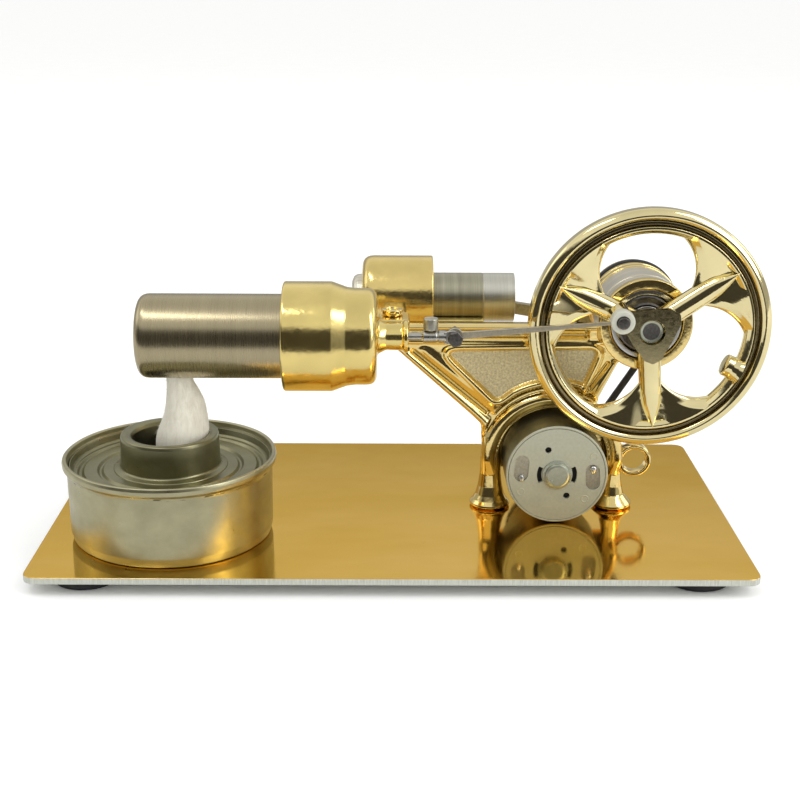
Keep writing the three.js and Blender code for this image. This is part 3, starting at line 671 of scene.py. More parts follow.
wall_mesh = relief()
put("frame_wall", wall_mesh, "base", [gold, panel_gold], "frame_casting")
middles = np.array([tuple(p.center) for p in wall_mesh.polygons]) / MM - (OX, 0, DECK)
sandy = (depth_inside(PANEL, middles[:, 0], middles[:, 2]) > 0.75) & (middles[:, 1] < MID)
wall_mesh.polygons.foreach_set("material_index", sandy.astype(np.int32))

# drum: a gold front ring, then the pale turned housing, with a bearing seat at each end
drum_r, front, rear = 11.1, -7.0, 11.0
seat_r = B["bearing_outer_front"].size.x / 2 + 0.15
for name, lo, hi, r in (("drum_ring_front", front, front + 2.6, drum_r),
                        ("drum_ring_rear", rear - 2.0, rear, drum_r - 0.1)):
    put(name, ring(seat_r, r, lo, hi, *ON_SHAFT, 0.45, 128), "base", gold)
body_r, line_r = drum_r - 0.35, drum_r - 0.6  # the housing, and the line turned into it
put("drum_body", lathe([(seat_r, front + 2.4), (body_r, front + 2.4, 0.2), (body_r, -1.2, 0.1),
    (line_r, -1.0, 0.1), (line_r, -0.6, 0.1), (body_r, -0.4, 0.1), (body_r, rear - 1.8, 0.2),
    (seat_r, rear - 1.8)], *ON_SHAFT, 128, True), "base", drum_pale)
for name, cx, w in (("leg_foot_left", LEG_L, LEG_HALF_L), ("leg_foot_right", LEG_R, LEG_HALF_R)):
    put(name, lathe([(1.9, 0.05), (4.3, 0.05, 0.3), (5.0, 0.45, 0.3), (5.0, 1.0, 0.4), (4.3, 1.8, 0.8),
        (w + 1.05, 3.2, 1.5), (w + 0.5, 5.4, 2), (w + 0.08, 8.5, 2), (w, 12.5, 1), (w - 0.3, 14.5, 1),
        (0, 15.5)], "z", (cx, MID, DECK), 96, squash=0.96), "base", gold)
put("lamp_eyelet", ring(2.95, 4.15, MID - 1.5, MID + 1.5, "y", (60.3, 0, DECK + 12.2), 0.5, 64),
    "base", gold)
# gas passage: a block under the plug, and a lower bar on to the rear cylinder
block, bar = rect(-3.4, -3.1, 3.8, 3.05, 1.4, 0.9), rect(-3.0, -3.1, 3.3, 1.2, 1.4, 1.6)
put("gas_passage", joined(slab([block], FY + 3.3, -6.9, 0.6, at=(0, 0, AZ)),
    slab([bar], -7.6, PY - 9.7, 0.3, at=(0, 0, AZ))), "base", mottled_gold)
back_wall = [circle(MX, MZ, ARCH_IN + 1.6, 48, radians(-14), radians(194)), circle(MX, MZ, 3.5)]
screw_holes = [circle(MX + side * 6, MZ + 5, 1.3) for side in (-1, 1)]
put("motor_wall", slab(back_wall + screw_holes, can.hi.y + 0.3, can.hi.y + 2.3, 0.3),
    "base", gold)

# ---- Bearings ----
for end in ("front", "rear"):
    o, s, i = (B[f"bearing_{part}_{end}"] for part in ("outer", "shield", "inner"))
    put(f"race_outer_{end}", ring(7.2, o.size.x / 2, o.lo.y, o.hi.y, *ON_SHAFT, 0.3, 128),
        "base", turned_steel, f"bearing_outer_{end}")
    put(f"shield_{end}", lathe(level(s.lo.y, (4.7, 0, 0.05), (5.2, 0.25, 0.1), (6.5, 0.1, 0.2),
        (6.95, 0.3, 0.1)) + [(6.95, s.hi.y), (4.7, s.hi.y)], *ON_SHAFT, 96, True),
        "base", dark_steel, f"bearing_shield_{end}")
    put(f"race_inner_{end}", ring(i.size.x / 2 - 1.2, i.size.x / 2, i.lo.y, i.hi.y, *ON_SHAFT, 0.25, 96),
        "crank", turned_steel, f"bearing_inner_{end}")

# ---- Front cylinder ----
N = B["displacer_housing"]
hot_r, hot_left, hot_right = hot.size.z / 2, hot.lo.x - OX, hot.hi.x - OX
cup_r, cup_left, bore_r = N.size.z / 2, N.lo.x - OX, hot_r + 0.15
cone_r, neck_r = cup_r - 1.5, 3.15
put("displacer_cup", lathe([(bore_r, cup_left + 3), (bore_r, cup_left, 0.2), (cup_r, cup_left, 0.7),
    (cup_r, -14.0, 2.2), (cone_r + 0.25, -10.6, 2.4), (cone_r, -8.6, 1.5), (cone_r, -3.7, 2.7),
    (neck_r + 1.0, -3.7, 1.4), (neck_r - 0.1, -1.6, 1.4), (neck_r, 0.6, 1.2), (neck_r, 2.0, 0.8),
    (neck_r + 0.65, 2.6, 0.3), (neck_r + 0.55, 3.4, 0.35), (1.3, 3.4, 0.2), (1.3, 1)],
    *ON_FRONT, 160, sharp=50),
    "base", cup_gold, "displacer_housing")
put("hot_end_cap", lathe([(0, hot_left), (hot_r, hot_left, 2.6), (hot_r, hot_right),
    (hot_r - 0.4, hot_right), (hot_r - 0.4, hot_left + 3)], *ON_FRONT, 160),
    "base", cap_steel, "hot_cap")
plug_at, plug_z = (-0.2, -10, 0), AZ + 3.0
plug_head = lathe([(0, AZ + 1.5), (1.7, AZ + 1.5)] + level(plug_z, (1.7, 0.2, 0.1), (2.5, 0.35, 0.15),
    (2.5, 1.5, 0.25), (1.5, 1.6, 0.15), (1.35, 1.1, 0.1), (0, 1.1)), "z", plug_at, 64)
plug_rib = slab([rect(-0.35, -1.2, 0.35, 1.2)], plug_z + 0.9, plug_z + 1.45, 0.1, "z", at=plug_at)
put("screw_plug", joined(plug_head, plug_rib), "base", gold, "passage_plug")

# rod, rod end and pivot
R, E, C, P, NUT = (B[n] for n in ("displacer_rod", "rod_end", "clamp_screw", "pivot_bolt", "pivot_nut"))
px = P.c.x - OX
put("slide_rod", disc(R.size.z / 2, R.lo.x - OX, R.hi.x - OX, *ON_FRONT, 0.1, 32),
    "displacer_slider", steel, "displacer_rod")
end_r, end_left = 1.43, E.lo.x - OX
collar = lathe([(0.9, end_left, 0.1), (end_r, end_left, 0.3)] + level(px, (end_r, -4.4, 0.2),
    (end_r - 0.12, -4.2, 0.1), (end_r - 0.12, -3.9, 0.1), (end_r, -3.7, 0.2), (end_r, -2.0, 0.4),
    (0, -1.9)), *ON_FRONT, 64)
tongue = slab([fillet([(px - 2.6, -1.3), (px, -1.75, 1.5), (px + 1.75, 0, 1.4), (px, 1.75, 1.5),
    (px - 2.6, 1.3)], True)], FY - 1.2, FY - 0.2, 0.15, at=(0, 0, AZ))
put("rod_clevis", joined(collar, tongue), "displacer_slider", steel, "rod_end")
head_r, head_z, screw_at = C.size.x / 2, C.lo.z, (C.c.x - OX, FY, 0)
head = lathe([(0, head_z), (0.55, head_z), (0.55, head_z + 1.15, 0.1), (head_r, head_z + 1.2, 0.2),
    (head_r, C.hi.z, 0.35), (0, C.hi.z)], "z", screw_at, 48)
slot = slab([rect(-3, -0.27, 3, 0.27)], C.hi.z - 0.9, C.hi.z + 1, 0, "z", at=screw_at)
put("clamp_screw_head", boolean(head, slot), "displacer_slider", screw_grey, "clamp_screw")
bolt = joined(slab([hexagon(px, AZ, 1.85, 0.2)], P.lo.y, P.lo.y + 1.5, 0.22),
              disc(0.7, P.lo.y + 1.4, P.hi.y, "y", (px, 0, AZ), 0.1, 24))
put("hex_bolt", bolt, "displacer_slider", dark_steel, "pivot_bolt")
put("hex_nut", slab([hexagon(px, AZ, 1.85, 0.5), circle(px, AZ, 0.95, 24)], NUT.lo.y, NUT.hi.y, 0.2),
    "displacer_slider", dark_steel, "pivot_nut")


# front connecting rod, its bush and the crank pin
def bar_outline(length, half, eye, big_eye=0.0):
    """A bar that leaves each eye a little wider than half suggests, because the angles below open it."""
    a = asin(half / eye) + 0.25
    near = circle(0, 0, eye, 20, a, TAU - a)
    if not big_eye:
        return near + [(length, -half), (length, half)]
    b = asin(half / big_eye) + 0.2
    return near + circle(length, 0, big_eye, 20, pi + b, 3 * pi - b)


def turned_to(points, x, z, angle):
    c, s = cos(angle), sin(angle)
    return [(x + c * a - s * b, z + s * a + c * b) for a, b in points]


L, K, Q = B["displacer_link"], B["crank_bush"], B["crank_pin"]
kx, kz, bush_r = K.c.x - OX, K.c.z, K.size.x / 2
ON_PIN = ("y", (kx, 0, kz))
reach = hypot(kx - px, kz - AZ) - 2.6  # the bar ends under the bush
link = turned_to(bar_outline(reach, 0.38, 1.9), px, AZ, atan2(kz - AZ, kx - px))
put("link_rod", slab([link, circle(px, AZ, 0.95, 24)], L.lo.y, L.hi.y, 0.14),
    "front_link", link_steel, "displacer_link")
put("nylon_bush", lathe([(1.55, K.lo.y, 0.1), (bush_r - 0.1, K.lo.y, 0.35), (bush_r, K.c.y, 0.3),
    (bush_r - 0.1, K.hi.y, 0.35), (1.55, K.hi.y, 0.1)], *ON_PIN, 64, True),
    "front_link", nylon, "crank_bush")
put("front_crank_pin", disc(1.4, Q.lo.y, Q.hi.y, *ON_PIN, 0.25, 48),
    "front_link", dark_steel, "crank_pin")

# ---- Flywheel ----
WHEEL_Y, WHEEL_R = -9.8, fly.size.x / 2  # the rim's middle plane and its radius
HUB = fly.lo.y  # front of the hub
TILT = radians(4.6)  # how far the wheel has turned
DIST, HOLE = 13.6, 11.2  # the round holes: how far from the shaft, and their radius
RIM_IN = 22.5
SIXTH = TAU / 6
ribs = [radians(30) + TILT + k * 2 * SIXTH for k in range(3)]


def wheel_rim():
    half = [(RIM_IN, 0.0), (RIM_IN + 0.3, 1.5, 0.7), (23.7, 2.25, 0.5), (24.4, 2.3, 0.3), (24.75, 1.2, 0.5),
            (25.7, 1.0, 0.5), (26.1, 2.3, 0.5), (26.9, 2.96, 0.9), (WHEEL_R, 2.0, 1.5), (WHEEL_R, 0.0)]
    prof = [(p[0], -p[1], *p[2:]) for p in half] + [(p[0], p[1], *p[2:]) for p in half[-2:0:-1]]
    return lathe(prof, "y", (SX, WHEEL_Y, AZ), 256, True, 60)


def wheel_web(turn, n=60, m=56):
    """One dished panel between two round holes, thin at the holes' edges."""
    verts = []
    for side in (-1, 1):
        for r in np.linspace(3.0, 23.8, n):
            c = (r * r + DIST ** 2 - HOLE ** 2) / (2 * r * DIST)
            half = SIXTH - (acos(c) if abs(c) < 1 else 0)
            for k in range(m + 1):
                u = 2 * k / m - 1
                away = copysign(1 - (1 - abs(u)) ** 1.6, u) * max(half, 0.01)
                x, z = r * cos(turn + away), r * sin(turn + away)
                gap = max(min(hypot(x - DIST * cos(turn + s), z - DIST * sin(turn + s)) - HOLE
                              for s in (SIXTH, -SIXTH)), 0)
                lip = sqrt(1 - (1 - min(gap / 0.9, 1)) ** 2)
                off_rib = max(abs(r * sin(away)) - 2.0, 0)
                rise = 1.7 * max((r - 13.0) / 10.0, 0) ** 1.7 * (1 - 0.7 * exp(-(off_rib / 1.8) ** 2))
                f = 0.15 + 0.5 * lip + rise * min(gap / 2.2, 1) ** 0.7 * (1 if side < 0 else 0.7)
                verts.append((SX + x, WHEEL_Y + side * f, AZ + z))
    cols = m + 1
    back = n * cols
    faces = grid(n, cols, flip=True) + grid(n, cols, back)
    for i in range(n - 1):
        a, b = i * cols, (i + 1) * cols
        faces += [(a, b, back + b, back + a), (b + m, a + m, back + a + m, back + b + m)]
    return to_mesh(verts, faces, 70, False)


def wheel_rib(turn, side, n=56, m=28):
    """A ridge that narrows to a point at the rim."""
    along = [1.5, 7.0, 12.0, 16.0, 18.5, 21.0, 22.8, 24.2]
    half_width = [2.75, 2.7, 2.65, 2.6, 2.35, 1.6, 0.85, 0.1]
    verts = []
    for s in np.linspace(along[0], along[-1], n + 1):
        w = float(np.interp(s, along, half_width))
        crest = 2.95 - 0.45 * (s / 24) ** 2 if side < 0 else 2.3 - 0.4 * (s / 24)
        ridge = [2 * k / m - 1 for k in range(m + 1)]
        across = turned_to([(s, v * w) for v in ridge], SX, AZ, turn)
        verts += [(x, WHEEL_Y + side * (0.4 + (crest - 0.4) * (1 - abs(v) ** 2.2) ** 0.55), z)
                  for v, (x, z) in zip(ridge, across)]
    return to_mesh(verts, grid(n + 1, m + 1, flip=side < 0), 60, False)


def wheel_lug(angle):
    """A short stub that stands out from the inside of the rim."""
    mesh = lathe([(0, 20.3), (2.65, 20.3, 0.45), (2.65, 21.9, 1.2), (3.2, 23.2, 1.0), (3.8, 24.0),
        (0, 24.2)], "x", segs=64)
    for v in mesh.vertices:
        (x, z), = turned_to([(v.co.x / MM - OX, v.co.z / MM)], SX + OX, AZ, angle)
        v.co = Vector((x * MM, v.co.y + (WHEEL_Y - 0.2) * MM, z * MM))
    return finish_mesh(mesh)


def hub_outline():
    """A face with an arm along each rib and concave sides between them."""
    arm = ((-0.52, 5.9), (-0.3, 7.0), (0.0, 7.7), (0.3, 7.0), (0.52, 5.9))
    points = []
    for a in ribs:
        points += [(SX + r * cos(a + da), AZ + r * sin(a + da), 0.6) for da, r in arm]
        points.append((SX + 5.3 * cos(a + SIXTH), AZ + 5.3 * sin(a + SIXTH), 3.0))
    return fillet(points, True, 6)


wheel = [wheel_rim()]
for a in ribs:
    wheel += [wheel_web(a), wheel_rib(a, -1), wheel_rib(a, 1)]
wheel += [ring(SHAFT_R + 0.2, 4.4, WHEEL_Y - 2, fly.hi.y, *ON_SHAFT, 0.4, 96),
          wheel_lug(radians(330) + TILT),
          lathe([(0, WHEEL_Y), (2.9, WHEEL_Y, 0.3), (2.6, HUB - 1.2, 0.35), (0, HUB - 1.2)], *ON_PIN, 64)]
wheel_mesh = joined(*wheel)
put("flywheel_casting", wheel_mesh, "crank", [fly_gold, channel_dark_reflection], "flywheel")
# faces in the rim's channel take the darker gold, a painted dark reflection
number_faces(wheel_mesh, lambda x, y, z: 24.5 < from_shaft(x, z) < 26.15 and abs(y - WHEEL_Y) < 2.2)
put("hub_face", slab([hub_outline(), circle(SX, AZ, SHAFT_R + 0.15, 64)], HUB + 0.25, HUB + 2.4, 0.5),
    "crank", hub_gold)
shaft_front = shaft.lo.y


def shaft_end_painted_light(x, y, z):
    """The shaft's front end: a painted reflection darkens the middle, and a painted highlight makes the ring
    round it pale.
    """
    if y >= shaft_front + 0.5:
        return 0
    return 1 if from_shaft(x, z) < 2.0 else 2


# dark steel and pale zinc on the front end are a painted reflection and a painted highlight
shaft_mesh = lathe([(0, shaft_front + 0.25), (2.05, shaft_front + 0.2, 0.1),
    (SHAFT_R - 0.3, shaft_front, 0.12), (SHAFT_R, shaft_front + 0.3, 0.1), (SHAFT_R, shaft.hi.y, 0.4),
    (0, shaft.hi.y)], *ON_SHAFT, 96)
put("crank_shaft", shaft_mesh, "crank", [turned_steel, dark_steel, zinc_boss], "crankshaft")
number_faces(shaft_mesh, shaft_end_painted_light)

# ---- Belt drive ----
BELT = B["drive_belt"]
BELT_Y = BELT.c.y


def pulley(box, bore, line):
    """A grooved wheel, dished at its back between rim and hub."""
    rim, front, back = box.size.x / 2, box.lo.y, box.hi.y
    groove = level(BELT_Y, (rim, -1.5, 0.15), (rim - 1.5, -0.9, 0.4), (rim - 1.5, 0.9, 0.4), (rim, 1.5, 0.15))
    dish = level(back, (rim, -0.4, 0.2), (rim - 0.6, 0, 0.3), (rim - 2.6, 0, 0.3), (rim - 3.0, -0.6, 0.3),
                 (bore + 1.8, -0.6, 0.3), (bore + 1.5, 0, 0.3), (bore, 0))
    face = level(front, (bore, 0), (rim - 0.6, 0, 0.3), (rim, 0.4, 0.2))
    return lathe(face + groove + dish, *line, 128, True)


def belt_loop(grow):
    """The belt's path: an arc round each pulley, joined by its two straight runs."""
    big_r, small_r = 10.5, 8.8
    dx, dz = SX - MX, AZ - MZ
    slope, lean = atan2(dz, dx), acos((big_r - small_r) / hypot(dx, dz))
    return (circle(SX, AZ, big_r + grow, 72, slope - lean, slope + lean) +
            circle(MX, MZ, small_r + grow, 72, slope + lean, slope - lean + TAU))


put("shaft_pulley", pulley(B["drive_pulley"], SHAFT_R + 0.1, ON_SHAFT),
    "crank", gold, "drive_pulley")
put("dynamo_pulley", pulley(B["motor_pulley"], 1.2, ON_MOTOR), "dynamo_rotor", nylon,
    "motor_pulley")
put("black_belt", slab([belt_loop(0.8), belt_loop(-0.8)], BELT.lo.y, BELT.hi.y, 0.5, segs=4),
    "base", rubber, "drive_belt")

# ---- Dynamo ----
can_front, can_back, wall_r = can.lo.y, can.hi.y, MOTOR_R - 0.6
can_mesh = lathe(level(can_back, (3.2, -0.7), (3.2, 0), (MOTOR_R - 1.0, 0), (MOTOR_R, -0.2, 0.9)) +
    level(can_front, (MOTOR_R, 0.3, 0.2), (MOTOR_R - 0.15, 0, 0.15), (MOTOR_R - 0.55, 0, 0.1),
    (wall_r, 0.5, 0.1)) + [(wall_r, can_back - 0.7)], *ON_MOTOR, 160, True)
put("dynamo_can", can_mesh, "base", [can_metal, zinc], "motor_can")
number_faces(can_mesh, lambda x, y, z: y < can_front + 0.6)
END = B["motor_end_plate"]
face_y, face_r = END.lo.y + 1.3, END.size.x / 2 + 0.22
SLOTS = ((-8.6, 1.6, 0.1), (8.7, -0.6, -0.1))  # the two long openings: x, z and lean


def stadium(x, z, r, lean, half=1.6):
    return circle(x + lean, z + half, r, 14, 0, pi) + circle(x - lean, z - half, r, 14, pi, TAU)


def arc_slot(mid, spread=0.46, r=4.3, half=0.55, n=16):
    points = (circle(MX, MZ, r + half, n, mid - spread, mid + spread) +
              circle(MX, MZ, r - half, n, mid + spread, mid - spread))
    ends = (0, n - 1, n, 2 * n - 1)
    return fillet([(*p, 0.35) if i in ends else p for i, p in enumerate(points)], True, 3)


slots = [stadium(MX + x, MZ + z, 1.72, lean) for x, z, lean in SLOTS]
holes = [circle(MX - 2.3, MZ + 6.3, 0.78, 32), circle(MX + 2.5, MZ - 5.4, 0.78, 32)]
put("dynamo_face", slab([circle(MX, MZ, face_r, 160)] + slots + [arc_slot(pi), arc_slot(0.0)] +
    holes, face_y, face_y + 0.8, 0.12), "base", zinc, "motor_end_plate")
put("dynamo_boss", lathe(level(face_y, (3.62, -0.02), (3.6, -0.36, 0.12), (3.02, -0.4, 0.06),
    (2.98, -0.5, 0.05), (2.9, -1.1, 0.25), (2.4, -1.3, 0.25), (0, -1.24)), *ON_MOTOR, 96),
    "base", zinc_boss)
dimple = level(face_y, (0.95, -0.015), (0.85, -0.09, 0.05), (0.7, -0.02, 0.05), (0, -0.01))
dimples = [lathe(dimple, "y", (MX + x, 0, MZ + z), 24) for x, z in ((8.7, 4.7), (-8.6, -4.4), (7.0, -6.2))]
put("dynamo_dimples", joined(*dimples), "base", zinc)
# a black disc behind the end plate: painted shadow that shows through its slots and holes
put("dynamo_inside_shadow", slab([circle(MX, MZ, face_r - 1.4, 96)], face_y + 1.1, face_y + 1.3, 0),
    "base", shadow_black)
lining = [slab([stadium(MX + x, MZ + z, 1.7, lean)], face_y + 0.45, face_y + 0.75, 0) for x, z, lean in SLOTS]
put("dynamo_slot_floor", joined(*lining), "base", screw_grey)


def blob(x, y, z, r, seed, flat=0.7):
    """A set drop of solder."""
    b = bmesh.new()
    bmesh.ops.create_icosphere(b, subdivisions=4, radius=1)
    rnd = random.Random(seed)
    ph = [rnd.uniform(0, 6) for _ in range(6)]
    for v in b.verts:
        wave = 0.08 * sin(4 * v.co.z + ph[1]) * cos(2 * v.co.y + ph[2])
        k = r * (1 + 0.1 * sin(3 * v.co.x + ph[0]) + wave)
        v.co = Vector((x + OX + v.co.x * k, y + v.co.y * k * flat, z + v.co.z * k)) * MM
    m = bpy.data.meshes.new("blob")
    b.to_mesh(m)
    b.free()
    return finish_mesh(m, 80)


for side in ("left", "right"):
    t = B[f"motor_terminal_{side}"]
    x, z = t.c.x - OX, t.c.z
    tag = slab([rect(x - 0.75, z - 1.5, x + 0.75, z + 1.5, 0.3)], t.c.y - 0.3, t.c.y + 0.2, 0.08)
    put(f"terminal_tag_{side}", tag, "base", solder, f"motor_terminal_{side}")
put("solder_left", blob(MX - 8.55, face_y + 0.12, MZ - 0.9, 0.8, 3), "base", solder)
put("solder_right", blob(MX + 8.75, face_y + 0.2, MZ + 1.3, 0.95, 8), "base", solder)
MS = B["motor_shaft"]
put("dynamo_shaft", disc(1.0, MS.lo.y, MS.hi.y, *ON_MOTOR, 0.2, 32),
    "dynamo_rotor", steel, "motor_shaft")

# ---- Rear cylinder ----
H = B["power_housing"]
tube_r, tube_right = tube.size.z / 2, tube.hi.x - OX
rear_r, rear_left, rear_right = 10.6, -7.9, 10.1
put("power_cup", lathe([(tube_r + 0.15, 4), (tube_r + 0.15, rear_right, 0.2), (rear_r, rear_right, 0.5),
    (rear_r, rear_left, 3.0), (0, rear_left)], *ON_REAR, 160, sharp=50),
    "base", mottled_gold, "power_housing")
put("power_end_boss", lathe(level(rear_left, (0, 0.3), (5.9, 0.3), (5.8, -1.2, 0.6), (5.3, -2.1, 1.0),
    (4.0, -2.65, 0.8), (0, -2.7)), *ON_REAR, 96), "base", drum_pale)
start, stop = radians(218), radians(322)
cradle = circle(0, 0, 8.0, 30, start, stop) + circle(0, 0, tube_r + 0.25, 30, stop, start)
put("power_cradle", slab([cradle], rear_right - 0.6, H.hi.x - OX, 0.3, *ON_REAR),
    "base", cup_gold)
sleeve = 22.9  # the paler sleeve goes from here to the tube's right end
tube_mesh = lathe([(tube_r - 0.65, 2.4), (tube_r, 2.4, 0.1), (tube_r, 22.7, 0.08),
    (tube_r - 0.1, 22.85, 0.03), (tube_r, 23.0, 0.08), (tube_r, tube_right, 0.12),
    (tube_r - 0.65, tube_right, 0.12)], *ON_REAR, 160, True)
put("power_tube", tube_mesh, "base", [tube_steel, sleeve_steel], "power_cylinder")
number_faces(tube_mesh, lambda x, y, z: x > sleeve)
WRIST, ROD, PIN = B["wrist_pin"], B["power_connecting_rod"], B["power_crank_pin"]
wx, cx, cz = WRIST.c.x - OX, PIN.c.x - OX, PIN.c.z
rod = turned_to(bar_outline(hypot(cx - wx, cz - AZ), 0.9, 2.3, 3.3), wx, AZ, atan2(cz - AZ, cx - wx))
put("power_rod", slab([rod, circle(wx, AZ, 1.25, 32), circle(cx, cz, 1.75, 32)], ROD.lo.y, ROD.hi.y, 0.3),
    "power_link", rod_brass, "power_connecting_rod")
put("rear_crank_pin", lathe([(0, PIN.lo.y), (1.5, PIN.lo.y, 0.15), (1.5, ROD.hi.y + 0.3),
    (2.5, ROD.hi.y + 0.3, 0.2), (2.5, PIN.hi.y, 0.35), (0, PIN.hi.y)], "y", (cx, 0, cz), 48),
    "power_link", steel, "power_crank_pin")

# ---- Burner ----
bottom, top, rim_r = burner.lo.z, burner.hi.z, burner.size.x / 2
tin_mesh = lathe(level(bottom, (0, 0.35), (21.6, 0.35, 0.4), (22.4, 0, 0.4), (23.4, 0, 0.7),
    (23.75, 1.2, 0.6), (24.0, 2.2, 2)) + level(top, (24.15, -3.4, 1.5), (24.35, -2.6, 0.6),
    (rim_r - 0.1, -1.9, 0.6), (rim_r, -0.9, 0.5), (rim_r - 0.25, 0, 0.55), (rim_r - 1.1, -0.15, 0.4),
    (rim_r - 1.25, -1.2, 0.5), (23.55, -2.2, 0.5)) + level(bottom, (23.5, 1.5), (0, 0.9)),
    *ON_BURNER, 192, sharp=60)
# a pressed tin is never quite round
middle = Vector((BX + OX, BY)) * MM
for v in tin_mesh.vertices:
    out = v.co.xy - middle
    a = atan2(out.y, out.x)
    k = 1 - 0.0035 * (1 + sin(3 * a + 0.8)) - 0.002 * (1 + sin(7 * a))
    v.co.xy = middle + out * k
put("burner_tin", tin_mesh, "burner", tin, "burner_can")
COLLAR = B["wick_collar"]
lid_z, collar_top = B["burner_lid"].lo.z - 0.55, COLLAR.hi.z - 0.6
collar_r, mouth_r = COLLAR.size.x / 2 - 0.3, 8.7
# two pressed grooves run round the lid, and its edge turns up inside the tin's rim
lid = lathe(level(lid_z, (mouth_r, 0.3), (15.7, 0.3, 0.3), (16.2, -0.35, 0.25), (16.7, -0.35, 0.25),
    (17.2, 0.35, 0.3), (20.2, 0.35, 0.3), (20.7, -0.35, 0.3), (21.3, -0.35, 0.3), (21.8, 0.3, 0.3),
    (22.5, 0.3, 0.4), (22.9, 0.8, 0.4)) + level(top, (23.3, -1.6, 0.6), (23.5, -1.6)),
    *ON_BURNER, 192, sharp=60)
sheet = temp(lid)
m = sheet.modifiers.new("sheet", "SOLIDIFY")
m.thickness, m.offset = 0.25 * MM, -1
put("burner_lid_ridged", finish_mesh(applied(sheet), 60), "burner", tin_lid, "burner_lid")
put("collar_tube", lathe(level(lid_z, (mouth_r, 0.1), (collar_r + 1.9, 0.1, 0.15),
    (collar_r + 1.7, 0.5, 0.3), (collar_r + 0.1, 0.9, 0.8)) + level(collar_top,
    (collar_r - 0.1, -0.9, 0.4), (collar_r - 0.3, -0.1, 0.5), (mouth_r + 1.4, 0, 0.7),
    (mouth_r + 0.4, -0.35, 0.5), (mouth_r, -1.2, 0.4)), *ON_BURNER, 160, True, sharp=60),
    "burner", tin_lid, "wick_collar")
# a black disc down the collar's mouth: painted shadow inside the burner
put("burner_inside_shadow", disc(mouth_r - 0.05, collar_top - 6.3, collar_top - 6.0, *ON_BURNER, 0, 48),
    "burner", shadow_black)

# ---- Wick ----
RINGS, AROUND = 64, 72
# up the wick: part of its height, shift to the right of the burner's middle, half width, half depth
WICK = np.array([(0.0, 2.6, 5.6, 5.2), (0.2, 2.9, 6.1, 5.5), (0.36, 3.6, 5.6, 5.2), (0.5, 4.0, 4.8, 4.6),
                 (0.66, 4.1, 4.5, 3.9), (0.84, 3.5, 3.7, 3.2), (0.95, 2.9, 3.1, 2.8), (1.0, 2.7, 2.8, 2.4)])


def wick_skin():
    """A twist of cotton that swells in the collar and narrows as it rises: its skin, and its two ends."""
    foot, tip = collar_top - 5.0, B["wick"].hi.z - 0.1
    rnd = random.Random(5)
    waves = [(rnd.randint(2, 9), rnd.uniform(0, 6), rnd.uniform(0.3, 1.4)) for _ in range(9)]
    verts = []
    for i in range(RINGS + 1):
        t = i / RINGS
        near = np.linspace(t - 0.1, t + 0.1, 9)
        shift, rx, ry = (np.interp(near, WICK[:, 0], WICK[:, j]).mean() for j in (1, 2, 3))
        for k in range(AROUND):
            a = TAU * k / AROUND
            w = sum(sin(n * a + p + s * 5 * t) for n, p, s in waves) / len(waves)
            q = 1 + 0.05 * w + 0.03 * sin(2 * a + 4 * t)
            verts.append((BX + shift + rx * q * cos(a), BY + ry * q * sin(a), foot + (tip - foot) * t))
    return verts, [(BX + 2.6, BY, foot), (BX + 2.0, BY, tip + 0.05)]


skin, ends = wick_skin()
last, n = RINGS * AROUND, len(skin)
faces = grid(RINGS + 1, AROUND, loop=True) + [(n, (k + 1) % AROUND, k) for k in range(AROUND)]
faces += [(n + 1, last + k, last + (k + 1) % AROUND) for k in range(AROUND)]
put("cotton_wick", to_mesh(skin + ends, faces, 80), "burner", wick_white, "wick")


def loose_fibres(count=420, fibre_r=0.022):
    rnd = random.Random(11)
    strands = []
    for _ in range(count):
        i, k = rnd.randint(16, RINGS - 1), rnd.randint(0, AROUND - 1)
        p = Vector(skin[i * AROUND + k])
        a = TAU * k / AROUND
        out = Vector((cos(a), sin(a), rnd.uniform(-0.2, 0.8))).normalized()
        side = Vector((rnd.uniform(-1, 1), rnd.uniform(-1, 1), rnd.uniform(-1, 1)))
        size = rnd.uniform(0.25, 0.8)
        strands.append([(q.x + OX, q.y, q.z) for q in (p - out * 0.2, p + out * size * 0.45 + side * 0.12,
                                                       p + out * size * 0.6 + side * size * 0.6)])
    fuzz = curve(strands, False)
    fuzz.bevel_depth, fuzz.bevel_resolution = fibre_r * MM, 0
    return finish_mesh(applied(temp(fuzz)))


put("cotton_fibres", loose_fibres(), "burner", wick_white)

# ---- Nodes that keep their CAD shape: pieces inside or under the engine ----
kept = {"hot_cap_gasket": rubber, "displacer": cap_steel, "power_piston": dark_steel, "wrist_pin": steel,
        "motor_magnet": dark_steel, "motor_rotor": copper, "motor_bush": brass}
kept.update({f"{part}_screw_{side}": steel for part in ("motor", "leg") for side in ("left", "right")})
for name, mat in kept.items():
    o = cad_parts[name]
    o.data.materials.clear()
    o.data.materials.append(mat)

# ---- Floor, light and surroundings ----
scene.view_settings.view_transform = "Standard"
scene.view_settings.look = "None"


def floor(name, y0, s, tone):
    """A square of floor in metres, from y0 back to s."""
    me = bpy.data.meshes.new(name)
    me.from_pydata([(-s, y0, 0), (s, y0, 0), (s, s, 0), (-s, s, 0)], [], [(0, 1, 2, 3)])
    n = Surface(name, tone, 0.0, 0.85, specular=0.1)
    n.paint(n.blend(n.noise(0.03), shade(tone, 0.99), tone, 0.4))
    o = bpy.data.objects.new(name, me)
    o.data.materials.append(n.m)
    scene.collection.objects.link(o)
    o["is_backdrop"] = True
    return o


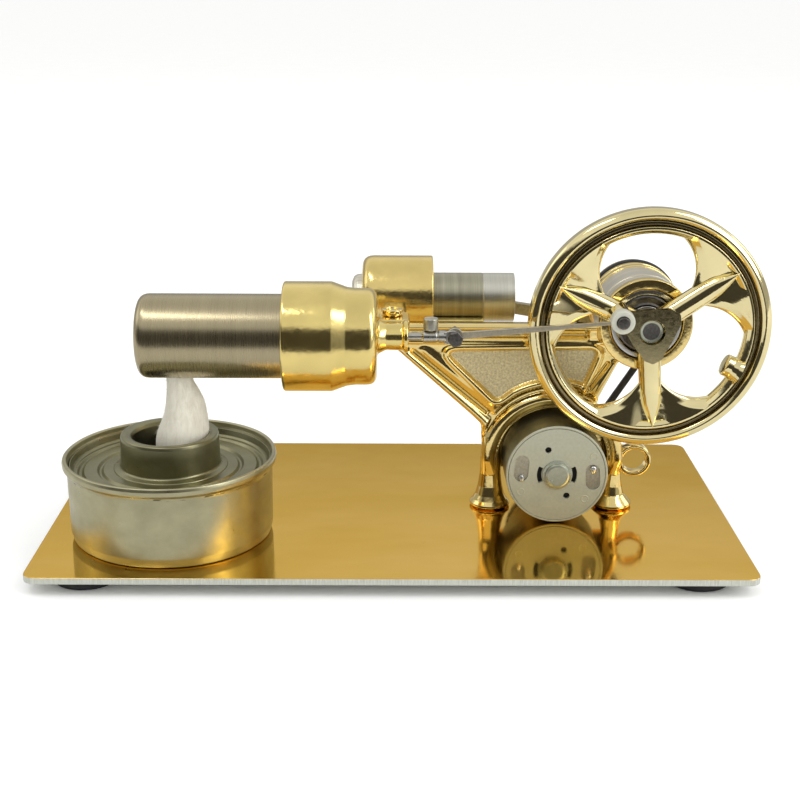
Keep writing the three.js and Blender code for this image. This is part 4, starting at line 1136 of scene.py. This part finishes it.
# the floor that shows, and the greyer sheet that only the gold reflects
floor("floor", -60.0, 60.0, (0.97, 0.97, 0.965)).visible_glossy = False
paper = floor("floor_paper", -0.19, 1.5, (0.66, 0.66, 0.65))
paper.visible_camera, paper.visible_shadow, paper.visible_diffuse = False, False, False
paper.location.z = 0.0002


def studio():
    """An even pale room. Reflections see it darker below, with a dark patch ahead and to the left."""
    world = bpy.data.worlds.new("studio")
    scene.world = world
    world.use_nodes = True
    n = Tree(world.node_tree)
    place = n.add("TexCoord", {}).outputs["Generated"]
    dx, dy, dz = n.add("SeparateXYZ", {0: place}).outputs
    greys = ((0.0, 0.25), (0.5, 0.42), (0.65, 0.4), (0.70, 0.66), (0.78, 0.85), (0.9, 0.75), (1.0, 0.7))
    up = n.math("ADD", n.times(dz, 0.5), 0.5)
    sky = n.ramp(up, [(p, (v, v, v * 0.98)) for p, v in greys])
    turned = n.math("ADD", dy, n.times(dx, 0.32))
    ahead_of = n.times(n.minus(n.times(turned, -1.0), 0.5), 4.0, clamp=True)
    low = n.times(n.minus(0.56, dz), 9.0, clamp=True)
    seen = n.mix(n.times(ahead_of, low), sky, (0.05, 0.046, 0.04))
    glossy = n.add("LightPath", {}).outputs["Is Glossy Ray"]
    n.fill(n.tree.nodes["Background"], {"Color": n.mix(glossy, (1.02, 1.02, 1.015), seen), "Strength": 1.0})


studio()


def softbox(name, at, aim, size, power):
    """A rectangular light at a place in metres, turned to its aim."""
    d = bpy.data.lights.new(name, "AREA")
    d.shape, d.size, d.size_y, d.energy = "RECTANGLE", size[0], size[1], power
    o = bpy.data.objects.new(name, d)
    o.location = at
    o.rotation_mode = "QUATERNION"
    o.rotation_quaternion = (Vector(aim) - Vector(at)).to_track_quat("-Z", "Y")
    scene.collection.objects.link(o)


softbox("key", (-0.36, -0.25, 0.93), (-0.05, 0, 0.04), (0.5, 0.12), 1.2)
softbox("left_fill", (-0.9, 0.1, 0.55), (0, 0, 0.04), (0.6, 0.5), 0.6)
softbox("right_strip", (0.62, -0.36, 0.5), (0, 0, 0.05), (0.3, 0.8), 2.6)
softbox("right_fill", (0.9, 0.25, 0.4), (0, 0, 0.04), (0.4, 0.4), 0.8)

lo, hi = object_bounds()
